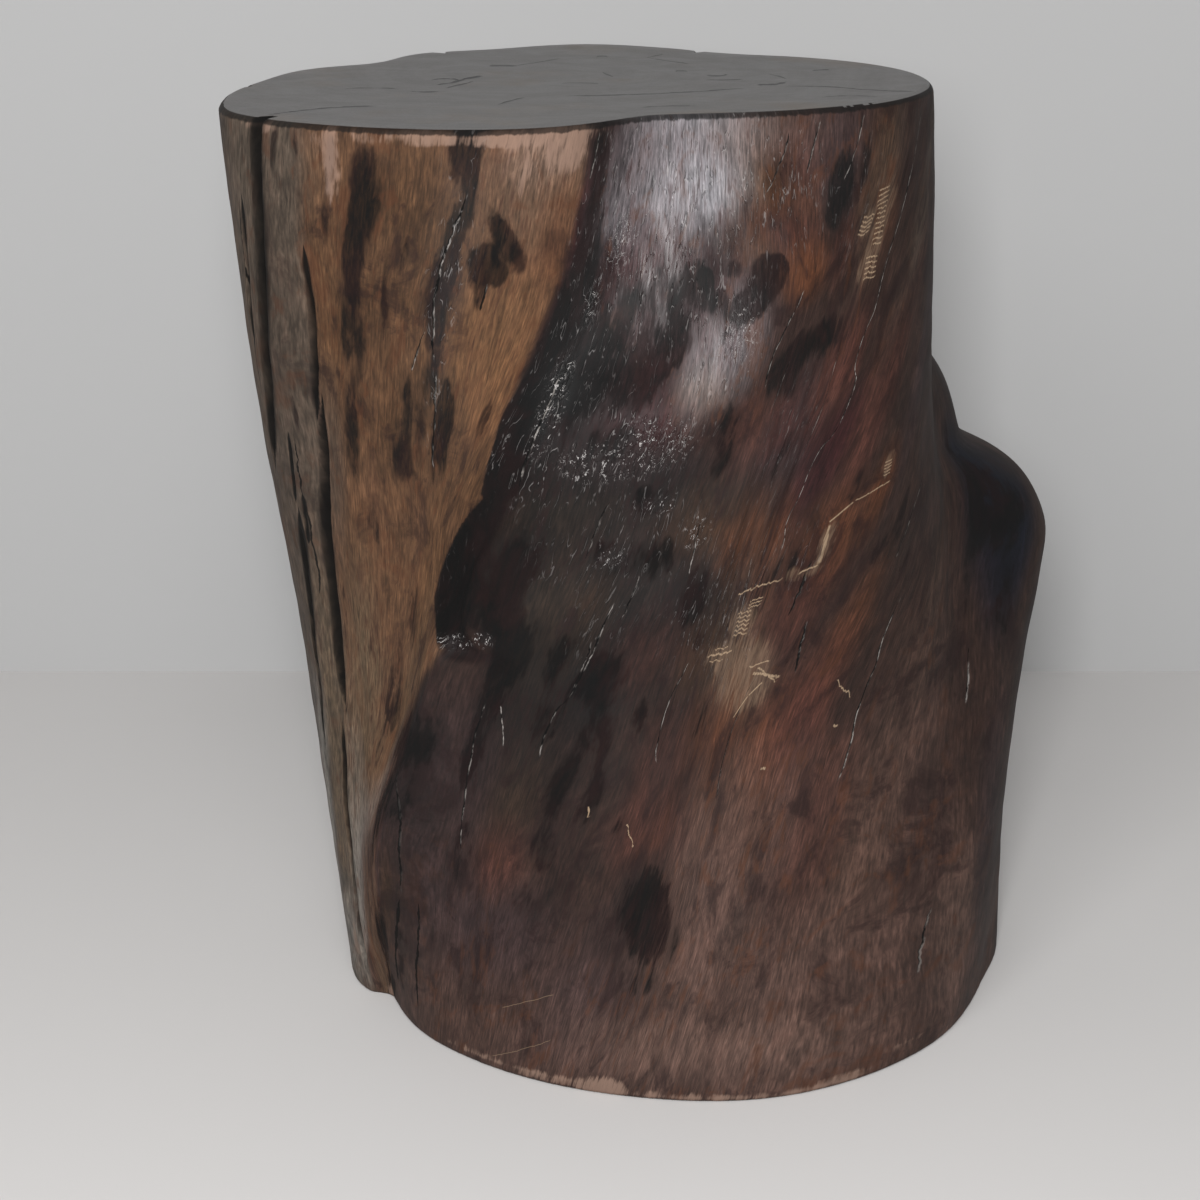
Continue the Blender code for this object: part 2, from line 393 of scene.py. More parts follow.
# %% Drying checks on the back
# Each: grain line, lowest and highest place as shares of the height, width, depth
back_checks = (
    (206.0, 0.34, 1.2, 0.0022, 0.005),
    (121.0 + full_turn, 0.28, 1.2, 0.0040, 0.008),
    (66.0 + full_turn, 0.52, 1.2, 0.0034, 0.007),
    (165.0, -0.2, 0.32, 0.0030, 0.005),
    (445.0, 0.05, 0.45, 0.0030, 0.004),
    (186.0, 0.60, 1.2, 0.0026, 0.004),
    (143.0, 0.46, 0.86, 0.0026, 0.004),
)
for line, low, high, width, depth in back_checks:
    path = (np.array((0.0, seat_height)), np.array((line, line)))
    open_here = between_heights(low * seat_height, high * seat_height, 0.05, 0.05)
    width_here = width * (0.4 + 0.6 * open_here)
    relief = np.minimum(relief, groove(gap_to(path), width_here, depth) * open_here)
print(len(back_checks), "checks on the side that the picture doesn't show")

# %% [markdown]
# ## The hollow between the stems
#
# Where the two stems grew together, the bark side folded inwards and left a small scoop. Its left
# lip is crisp, because the plate of wood beside it overhangs a little, and its floor ends in a
# narrow ledge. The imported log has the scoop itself, so only the lip and the ledge are added here.

# %% Lip and ledge of the hollow
lip_marks = (
    (505, 473), (483, 500), (465, 523), (452, 547), (442, 573), (437, 597), (437, 622), (441, 650),
    (439, 668))
lip = path_of(lip_marks)
lip_gap = gap_to(lip)
lip_depth = 0.0048
lip_wall = 0.0018
lip_reach = 0.028
ledge_low, ledge_high = 0.2035, 0.2100
lip_top, lip_fade = 0.305, 0.055
in_hollow = ease_between(0, lip_wall, lip_gap)
in_hollow = in_hollow * (1 - ease_between(lip_reach * 0.5, lip_reach, lip_gap))
in_hollow = in_hollow * ease_between(ledge_low, ledge_high, height_grid)
in_hollow = in_hollow * (1 - ease_between(lip_top - lip_fade, lip_top, height_grid))
relief = relief - lip_depth * in_hollow
swell_height, swell_place, swell_width = 0.0012, -0.006, 0.005
plate_swell = swell_height * np.exp(-0.5 * ((lip_gap - swell_place) / swell_width) ** 2)
relief = relief + plate_swell * between_heights(0.20, 0.31, 0.03, 0.05)
print("the lip drops", round(lip_depth * 1000, 1), "mm more than the packed log does")

# %% Flutes, ripples and the fold's edge
flute_depth = 0.00045
ripple_depth = 0.00020
fibre_depth = 0.00004
fibre_reach = 0.016
radians_grid = np.radians(line_grid)
flutes = (np.sin(radians_grid * 17 + height_grid * 9)
          * np.sin(radians_grid * 5 + height_grid * 14 + 0.8))
ripples = (np.sin(radians_grid * 43 + np.sin(height_grid * 47) * 1.4)
           * np.sin(height_grid * 160 + radians_grid * 21 + np.sin(radians_grid * 11) * 1.2))
chance = np.random.default_rng(4)
fibres = chance.normal(size=form.shape)
fibre_length = bell_weights(height_gaps, fibre_reach, ring_spacing)
fibres = fibre_length @ fibres
fibres = fibres / fibres.std()
away_from_rims = between_heights(-0.001, seat_height + 0.001, 0.012, 0.012)
relief = relief + away_from_rims * (flute_depth * flutes + ripple_depth * ripples)
relief = relief + fibre_depth * fibres
print("flutes", round(flute_depth * 1000, 2), "mm, ripples", round(ripple_depth * 1000, 2), "mm")

# %% Eased edges
# The relief fades on the eased edges, and the sawn faces stay at their heights
rim_share = np.clip(1 - (seat_height - height_grid) / rim_round, 0, 1)
foot_share = np.clip(1 - height_grid / foot_round, 0, 1)
eased = rim_round * (1 - np.sqrt(1 - rim_share ** 2))
eased = eased + foot_round * (1 - np.sqrt(1 - foot_share ** 2))
reach_grid = form + relief - eased
print("reach from", round(reach_grid.min(), 4), "to", round(reach_grid.max(), 4), "m")

# %% [markdown]
# ## The mesh
#
# The start is an open tube with one side for each column. Its upright edges are subdivided into the
# rings, and its end loops are extruded and drawn in, ring by ring, until they close in the middle
# of the seat and of the foot. Then every point is moved to its own grain line, height and reach.

# %% A closed tube
seat_drawn_in = np.linspace(0, 1, 15)[1:-1]
foot_drawn_in = np.linspace(0, 1, 7)[1:-1]
coarse_cuts = 4
fine_cuts = len(ring_heights) // (coarse_cuts + 1) - 1
tube_top = 0.5
hair = 1e-5

bpy.ops.object.select_all(action="DESELECT")
bpy.ops.mesh.primitive_cylinder_add(
    vertices=column_count, radius=1.0, depth=2 * tube_top, end_fill_type="NOTHING")
log = bpy.context.object
log.name = log.data.name = "log"
bpy.ops.object.mode_set(mode="EDIT")


def select_edges(wanted):
    """Selects the edges that a test picks, and nothing else."""
    bpy.ops.mesh.select_all(action="DESELECT")
    shape = bmesh.from_edit_mesh(log.data)
    for edge in shape.edges:
        edge.select_set(wanted(edge, *sorted(vert.co.z for vert in edge.verts)))
    bmesh.update_edit_mesh(log.data)


for cuts in (coarse_cuts, fine_cuts):
    select_edges(lambda edge, low, high: high - low > hair)
    bpy.ops.mesh.subdivide(number_cuts=cuts)

for level, shares in ((tube_top, seat_drawn_in), (-tube_top, foot_drawn_in)):
    select_edges(lambda edge, low, high: edge.is_boundary and abs(high - level) < hair)
    drawn = 0.0
    for share in shares:
        bpy.ops.mesh.extrude_edges_move()
        still_open = (1 - share) / (1 - drawn)
        bpy.ops.transform.resize(value=(still_open, still_open, 1.0))
        drawn = share
    bpy.ops.mesh.extrude_edges_move()
    bpy.ops.mesh.merge(type="CENTER")
bpy.ops.object.mode_set(mode="OBJECT")
print("the closed tube has", len(log.data.vertices), "points and", len(log.data.polygons), "faces")

# %% Each point to its place
tube = np.zeros(len(log.data.vertices) * 3)
log.data.vertices.foreach_get("co", tube)
tube = tube.reshape(-1, 3)
ring_of = np.round((tube[:, 2] + tube_top) * (len(ring_heights) - 1)).astype(int)
tube_turn = np.degrees(np.arctan2(tube[:, 1], tube[:, 0])) / full_turn * column_count
column_of = np.round(tube_turn).astype(int) % column_count
drawn_in = 1 - np.clip(np.hypot(tube[:, 0], tube[:, 1]), 0, 1)
drawn_in[drawn_in < 100 * hair] = 0.0

turns = np.radians(directions)
middles = np.array([middle_line(height) for height in ring_heights])[:, :2]
places = np.dstack([
    middles[:, :1] + reach_grid * np.cos(turns), middles[:, 1:] + reach_grid * np.sin(turns),
    height_grid])
points = places[ring_of, column_of]
ring_middles = np.column_stack([middles[ring_of], ring_heights[ring_of]])
points = points + (ring_middles - points) * drawn_in[:, None]
log.data.vertices.foreach_set("co", points.ravel())
log.data.update()
bpy.ops.object.mode_set(mode="EDIT")
bpy.ops.mesh.select_all(action="SELECT")
bpy.ops.mesh.normals_make_consistent(inside=False)
bpy.ops.object.mode_set(mode="OBJECT")
bpy.ops.object.shade_smooth()
shape = bmesh.new()
shape.from_mesh(log.data)
print("open edges:", sum(not edge.is_manifold for edge in shape.edges),
      "; the wood fills", round(shape.calc_volume() * 1000, 2), "litres")
shape.free()
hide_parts("trunk")
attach(log, "root")

# %% [markdown]
# ## Where each tone lies
#
# The wood is tan where the plate of sapwood shows, dark brown to maroon on the two stems, and
# almost black round the knots and in the valley between them, where the black is partly painted
# shade. It could be one noise texture, but then no stain would sit where the real one does. So the
# tones are dabbed on the points of the mesh, as with a soft brush: each dab has a tone, a place, a
# size and a strength, and stretches along the grain. The points lie two millimetres apart, which
# is too coarse for a crisp edge, so the material later breaks the edges of the stains up along the
# fibres.

# %% A palette
# Tones as they are seen on the wood, in 0 to 255 steps. Most are the wood's own. Some are
# painted light: the bluish sheen on the right stem is a painted highlight of the lamp on the
# varnish, glint is a painted glint on the edge of a blister or a tear, the seat's grey is partly
# a painted reflection of the pale room, and the palest grey is partly painted light on a strip
# that turns away from the lamps
palette = {
    "body": (57, 47, 44), "tan": (96, 73, 58), "warm tan": (107, 79, 58), "brown": (79, 60, 47),
    "olive tan": (106, 90, 73), "grey brown": (92, 82, 73), "slate brown": (84, 74, 66),
    "dark brown": (70, 55, 45), "pink worn": (144, 120, 107), "maroon": (60, 42, 43),
    "purple brown": (64, 54, 55), "charcoal": (43, 38, 38), "black": (30, 28, 29),
    "rust": (90, 60, 46), "red brown": (78, 53, 48), "low brown": (88, 70, 64),
    "olive brown": (58, 50, 44), "burl": (37, 39, 45), "foot": (104, 84, 76),
    "pale foot": (136, 115, 102), "mauve": (84, 70, 70), "sand": (100, 82, 70),
    "ochre": (104, 76, 56), "seat": (97, 95, 94), "fleck": (56, 40, 32), "painted sheen": (174, 174, 179),
    "eaten": (114, 95, 80), "gallery": (150, 129, 107), "glint": (170, 166, 164),
    "thread": (46, 35, 29), "dark patch": (44, 36, 35), "pale grey": (138, 134, 128),
}

varnish_veil = 0.016
darkest_tone = 0.0025


def tone(name):
    """A tone of the palette as the linear colour that materials and attributes hold. The varnish
    adds the same thin veil of light to every tone when it is seen, so that is taken off here."""
    share = np.array(palette[name]) / 255
    linear = np.where(share <= 0.04045, share / 12.92, ((share + 0.055) / 1.055) ** 2.4)
    return np.maximum(linear - varnish_veil, darkest_tone)


print(len(palette), "tones")

# %% Brushes
point_line = column_lines[column_of]
point_height = ring_heights[ring_of]
point_stretch = metres_per_line[ring_of, column_of]
picture_step = 0.00044
soft_edge = 0.2
knot_edge = 0.62
ground = np.tile(tone("body"), (len(points), 1))
stain = np.zeros(len(points))
worn = np.zeros(len(points))
rough = np.zeros(len(points))
pooled = np.zeros(len(points))
eaten = np.zeros(len(points))
flecked = np.zeros(len(points))


def line_gap(line):
    """How far each point lies to the right of a grain line, in metres."""
    return ((point_line - line + half_turn) % full_turn - half_turn) * point_stretch


def soft_spot(across, along, hardness):
    """A round spot of half size 1. A harder one fades over a narrower edge."""
    return 1 - ease_between(hardness, 1.9 - hardness, np.hypot(across, along))


def dab(x, y, wide, tall, lean=0.0, hardness=soft_edge):
    """How much of a soft dab each point gets. Its half sizes are in steps of the picture, and lean
    tells how far it moves sideways for each step up, from the grain that it follows by itself."""
    line, height = on_log(x, y)
    rise = point_height - height
    across = (line_gap(line) - lean * rise) / (wide * picture_step)
    along = rise / (tall * picture_step)
    return soft_spot(across, along, hardness)


def wash(weights, name, strength=1.0):
    """Lays a tone over the ground by weights between 0 and 1."""
    share = (weights * strength)[:, None]
    ground[:] = ground + (tone(name) - ground) * share


def add_to(layer, weights):
    """Adds to a mask so that dabs run together and never pass 1."""
    layer[:] = 1 - (1 - layer) * (1 - weights)


print(len(points), "points to paint; a step of the picture is", picture_step * 1000, "mm")

# %% The plate, the grey strip and the valley
# Places down the picture: along the valley between the stems, and along the widest check
valley_marks = (
    (590, 124), (585, 179), (573, 243), (556, 301), (541, 339), (519, 388), (500, 426), (487, 470),
    (483, 500), (465, 523), (452, 547), (442, 573), (437, 597), (437, 622), (441, 650), (433, 668),
    (418, 701), (404, 728), (396, 750), (384, 800), (372, 870), (366, 955))
wide_marks = (
    (303, 122), (303, 240), (312, 300), (315, 390), (324, 430), (327, 480), (331, 540), (339, 621),
    (344, 680), (345, 780), (349, 823), (357, 905), (362, 950))


def point_gap(path):
    """How far each point lies to the right of a path, in metres."""
    return line_gap(np.interp(point_height, *path))


valley = path_of(valley_marks)
valley_gap = point_gap(valley)
wide_gap = point_gap(path_of(wide_marks))
plate_edge = 0.006
# The valley's edge is crisp beside the hollow and soft elsewhere
beside_hollow = ease_between(0.19, 0.21, point_height)
beside_hollow = beside_hollow * (1 - ease_between(0.31, 0.35, point_height))
valley_edge = 0.0040 - 0.0032 * beside_hollow
right_of_valley = ease_between(-valley_edge, valley_edge * 0.4, valley_gap)
plate = ease_between(-plate_edge, plate_edge, wide_gap) * (1 - right_of_valley)
strip = (1 - ease_between(-plate_edge, plate_edge, wide_gap)) * ease_between(-0.11, -0.05, wide_gap)
wash(plate, "tan")
wash(strip, "slate brown")
print("the plate covers", int(plate.sum()), "points")


def on_its_side(weights, x, y):
    """Keeps a dab on the side of the valley on which its middle lies."""
    line, height = on_log(x, y)
    is_right = line > np.interp(height, *valley)
    return weights * (right_of_valley if is_right else 1 - right_of_valley)


# %% Broad tones, from the top down
# Each: tone, place in the picture, half width and half height in steps of the picture, strength
broad_tones = (
    # The plate and the strip beside it
    ("grey brown", 243, 200, 30, 150, 0.9), ("grey brown", 290, 170, 26, 60, 0.6),
    ("grey brown", 262, 330, 14, 90, 0.4), ("slate brown", 300, 420, 22, 120, 0.7),
    ("grey brown", 318, 640, 16, 120, 0.6), ("slate brown", 330, 820, 20, 110, 0.5),
    ("brown", 392, 190, 50, 60, 0.75), ("dark brown", 392, 240, 46, 80, 0.45),
    ("dark brown", 340, 300, 30, 90, 0.35), ("dark brown", 430, 250, 30, 60, 0.4),
    ("brown", 400, 340, 50, 60, 0.4), ("brown", 330, 330, 22, 90, 0.7),
    ("dark brown", 352, 400, 20, 90, 0.5), ("brown", 440, 250, 30, 50, 0.55),
    ("warm tan", 485, 350, 40, 70, 0.7), ("ochre", 505, 400, 26, 60, 0.6),
    ("brown", 400, 430, 36, 60, 0.7), ("brown", 440, 450, 26, 90, 0.6),
    ("brown", 470, 480, 24, 40, 0.7), ("slate brown", 335, 470, 16, 90, 0.6),
    ("brown", 360, 560, 26, 70, 0.4), ("olive tan", 366, 680, 26, 120, 0.8),
    ("brown", 404, 560, 26, 110, 0.45), ("brown", 430, 590, 12, 80, 0.6),
    ("brown", 400, 720, 14, 50, 0.6), ("grey brown", 350, 780, 16, 120, 0.5),
    ("olive tan", 335, 760, 26, 220, 0.75), ("grey brown", 258, 440, 14, 60, 0.5),
    ("grey brown", 352, 900, 16, 90, 0.6), ("brown", 374, 860, 10, 90, 0.5),
    ("dark brown", 385, 900, 16, 60, 0.8), ("sand", 540, 180, 40, 60, 0.6),
    ("pink worn", 545, 150, 34, 30, 0.35), ("dark brown", 574, 270, 14, 60, 0.5),
    ("rust", 556, 240, 16, 50, 0.4), ("maroon", 586, 215, 10, 60, 0.9),
    ("maroon", 566, 285, 10, 50, 0.8), ("maroon", 540, 345, 10, 40, 0.7),
    ("dark brown", 315, 240, 24, 110, 0.5), ("dark brown", 372, 310, 24, 60, 0.5),
    ("dark brown", 430, 310, 28, 50, 0.45), ("fleck", 352, 240, 12, 90, 0.4),
    # The valley, where the charcoal is partly painted shade between the stems
    ("charcoal", 612, 160, 18, 60, 0.9), ("charcoal", 600, 235, 22, 60, 0.9),
    ("charcoal", 575, 320, 32, 60, 0.9), ("charcoal", 550, 390, 40, 60, 0.9),
    ("charcoal", 530, 450, 44, 50, 0.9), ("charcoal", 610, 400, 60, 70, 0.8),
    # The upper right stem
    # The bluish sheen tone laid here is a painted highlight: the lamp's sheen on the varnish
    ("painted sheen", 684, 152, 56, 46, 1.0), ("painted sheen", 645, 212, 40, 46, 0.6),
    ("painted sheen", 700, 195, 30, 40, 0.5), ("painted sheen", 735, 135, 40, 22, 0.4),
    ("charcoal", 612, 320, 40, 70, 0.95), ("maroon", 600, 420, 60, 40, 0.5),
    ("mauve", 680, 150, 90, 50, 0.55), ("purple brown", 660, 240, 60, 90, 0.7),
    ("purple brown", 700, 330, 70, 60, 0.4), ("mauve", 655, 200, 40, 60, 0.35),
    ("maroon", 640, 330, 50, 60, 0.5), ("maroon", 640, 410, 60, 40, 0.45),
    ("sand", 770, 135, 50, 30, 0.6), ("brown", 765, 190, 34, 40, 0.7),
    ("rust", 805, 200, 22, 40, 0.45), ("brown", 755, 235, 36, 26, 0.5),
    ("maroon", 795, 240, 26, 22, 0.5), ("maroon", 770, 220, 30, 22, 0.4),
    ("charcoal", 842, 190, 20, 50, 0.8), ("rust", 806, 275, 22, 26, 0.7),
    ("red brown", 845, 250, 20, 30, 0.5), ("brown", 880, 160, 24, 60, 0.55),
    ("rust", 880, 225, 24, 50, 0.3), ("slate brown", 925, 200, 16, 130, 0.5),
    ("mauve", 708, 350, 26, 60, 0.5), ("sand", 700, 400, 24, 30, 0.6),
    ("maroon", 668, 425, 40, 24, 0.6), ("purple brown", 640, 470, 60, 22, 0.7),
    ("red brown", 745, 440, 30, 50, 0.5), ("maroon", 790, 430, 26, 60, 0.5),
    ("red brown", 845, 360, 26, 50, 0.7), ("maroon", 840, 440, 22, 50, 0.9),
    ("red brown", 880, 400, 26, 100, 0.6), ("purple brown", 925, 340, 18, 120, 0.5),
    ("purple brown", 780, 480, 30, 30, 0.6), ("maroon", 812, 480, 24, 50, 0.6),
    ("rust", 880, 490, 18, 40, 0.7), ("body", 920, 480, 20, 80, 0.8),
    # The lower body
    ("charcoal", 520, 610, 60, 120, 0.55), ("charcoal", 570, 700, 60, 90, 0.5),
    ("charcoal", 650, 500, 40, 40, 0.5), ("dark brown", 870, 840, 50, 90, 0.4),
    ("low brown", 860, 860, 60, 90, 0.35), ("olive brown", 560, 520, 60, 26, 0.8),
    ("charcoal", 590, 545, 70, 30, 0.5), ("body", 640, 520, 50, 30, 0.5),
    ("brown", 700, 520, 34, 40, 0.5), ("rust", 750, 540, 40, 50, 0.65),
    ("sand", 750, 610, 34, 50, 0.45), ("rust", 830, 545, 34, 50, 0.7),
    ("red brown", 800, 600, 34, 60, 0.6), ("rust", 850, 630, 26, 60, 0.5),
    ("body", 880, 600, 20, 70, 0.5), ("sand", 742, 680, 34, 36, 0.8),
    ("brown", 700, 650, 24, 40, 0.6), ("olive brown", 540, 610, 26, 60, 0.5),
    ("charcoal", 530, 680, 26, 60, 0.6), ("black", 600, 690, 26, 50, 0.75),
    ("charcoal", 680, 600, 20, 40, 0.7), ("red brown", 640, 650, 30, 40, 0.6),
    ("brown", 590, 610, 26, 30, 0.3), ("charcoal", 480, 740, 26, 70, 0.6),
    ("purple brown", 430, 780, 40, 100, 0.6), ("charcoal", 418, 770, 20, 60, 0.5),
    ("olive brown", 520, 800, 30, 60, 0.5), ("charcoal", 560, 800, 20, 50, 0.5),
    ("body", 600, 780, 30, 60, 0.5), ("red brown", 660, 760, 36, 50, 0.5),
    ("rust", 720, 720, 34, 50, 0.55), ("rust", 755, 780, 30, 80, 0.6),
    ("red brown", 800, 720, 34, 80, 0.7), ("body", 850, 740, 30, 100, 0.4),
    ("body", 900, 700, 40, 120, 0.5), ("olive brown", 925, 640, 30, 120, 0.4),
    ("low brown", 720, 860, 34, 100, 0.8), ("low brown", 770, 850, 30, 90, 0.6),
    ("red brown", 820, 830, 40, 90, 0.5), ("purple brown", 430, 900, 40, 90, 0.5),
    ("purple brown", 500, 940, 60, 60, 0.6), ("red brown", 500, 860, 30, 40, 0.5),
    ("red brown", 640, 830, 40, 40, 0.5), ("charcoal", 560, 870, 20, 40, 0.4),
    ("charcoal", 620, 920, 40, 60, 0.35), ("low brown", 705, 960, 34, 70, 0.7),
    ("low brown", 860, 960, 60, 60, 0.35), ("body", 940, 800, 30, 160, 0.4),
    ("purple brown", 580, 1000, 60, 40, 0.5), ("black", 560, 560, 90, 90, 0.50),
    ("black", 600, 650, 90, 90, 0.50), ("olive brown", 540, 640, 50, 90, 0.3),
    ("black", 650, 600, 40, 60, 0.45), ("black", 690, 490, 50, 34, 0.5),
    ("black", 530, 720, 60, 80, 0.4), ("black", 600, 480, 90, 50, 0.5),
    ("black", 620, 770, 60, 50, 0.35), ("black", 440, 770, 40, 70, 0.3),
    ("black", 560, 390, 50, 60, 0.6), ("maroon", 680, 290, 34, 34, 0.7),
    ("black", 655, 300, 26, 44, 0.5), ("black", 612, 330, 40, 70, 0.6),
    # Painted highlight: the sheen tone here and the mauve dab at 742, 318 paint the lower patch of
    # the lamp's sheen
    ("maroon", 650, 300, 30, 50, 0.5), ("painted sheen", 706, 372, 24, 40, 0.12),
    ("mauve", 742, 318, 22, 40, 0.4), ("rust", 806, 262, 24, 30, 0.35),
    ("red brown", 800, 150, 26, 40, 0.4), ("foot", 760, 1050, 170, 30, 0.8),
    ("low brown", 930, 880, 60, 100, 0.5), ("low brown", 800, 960, 90, 60, 0.5),
    ("low brown", 905, 760, 60, 160, 0.5), ("foot", 955, 940, 40, 90, 0.5),
    # The sheen tone here adds to the painted highlight of the lamp on the right stem
    ("maroon", 640, 330, 50, 40, 0.35), ("painted sheen", 692, 190, 46, 30, 0.3),
    ("painted sheen", 742, 345, 20, 46, 0.12), ("purple brown", 700, 300, 30, 24, 0.4),
    ("black", 655, 300, 30, 40, 0.2), ("mauve", 636, 318, 46, 60, 0.45),
    ("dark brown", 410, 310, 60, 60, 0.3), ("black", 545, 420, 46, 60, 0.35),
    ("black", 510, 560, 50, 80, 0.3), ("mauve", 832, 140, 50, 60, 0.4),
    ("mauve", 760, 130, 40, 30, 0.3), ("purple brown", 725, 245, 30, 30, 0.4),
    # The pale grey on the strip beside the plate is partly painted light, lightened where that side
    # turns from the lamps
    ("pale grey", 332, 830, 44, 130, 0.85), ("pale grey", 346, 930, 30, 60, 0.6),
    ("pale grey", 322, 720, 34, 60, 0.4), ("purple brown", 560, 1045, 60, 30, 0.5),
    ("slate brown", 880, 200, 24, 90, 0.3), ("black", 470, 560, 40, 70, 0.4),
    ("dark brown", 345, 250, 14, 90, 0.4), ("dark brown", 420, 400, 20, 60, 0.4),
    # The burl
    ("burl", 1000, 500, 44, 70, 1.0), ("burl", 975, 470, 24, 50, 0.9),
    ("burl", 1005, 580, 30, 60, 0.8), ("body", 1000, 680, 30, 60, 0.6),
    ("purple brown", 990, 820, 30, 120, 0.5), ("burl", 1025, 520, 24, 60, 0.8),
)
for name, x, y, wide, tall, strength in broad_tones:
    wash(on_its_side(dab(x, y, wide, tall), x, y), name, strength)
in_scoop = in_hollow[ring_of, column_of]
# Painted shade: the scoop of the hollow is washed charcoal by how deep it lies
wash(ease_between(0.15, 0.6, in_scoop), "charcoal", 0.9)
# Right of the valley the body is washed with low brown, more strongly towards the foot
near_foot = 1 - ease_between(0.0, 0.085, point_height)
wash(near_foot * (valley_gap > 0), "low brown", 0.55)
print(len(broad_tones), "broad dabs")

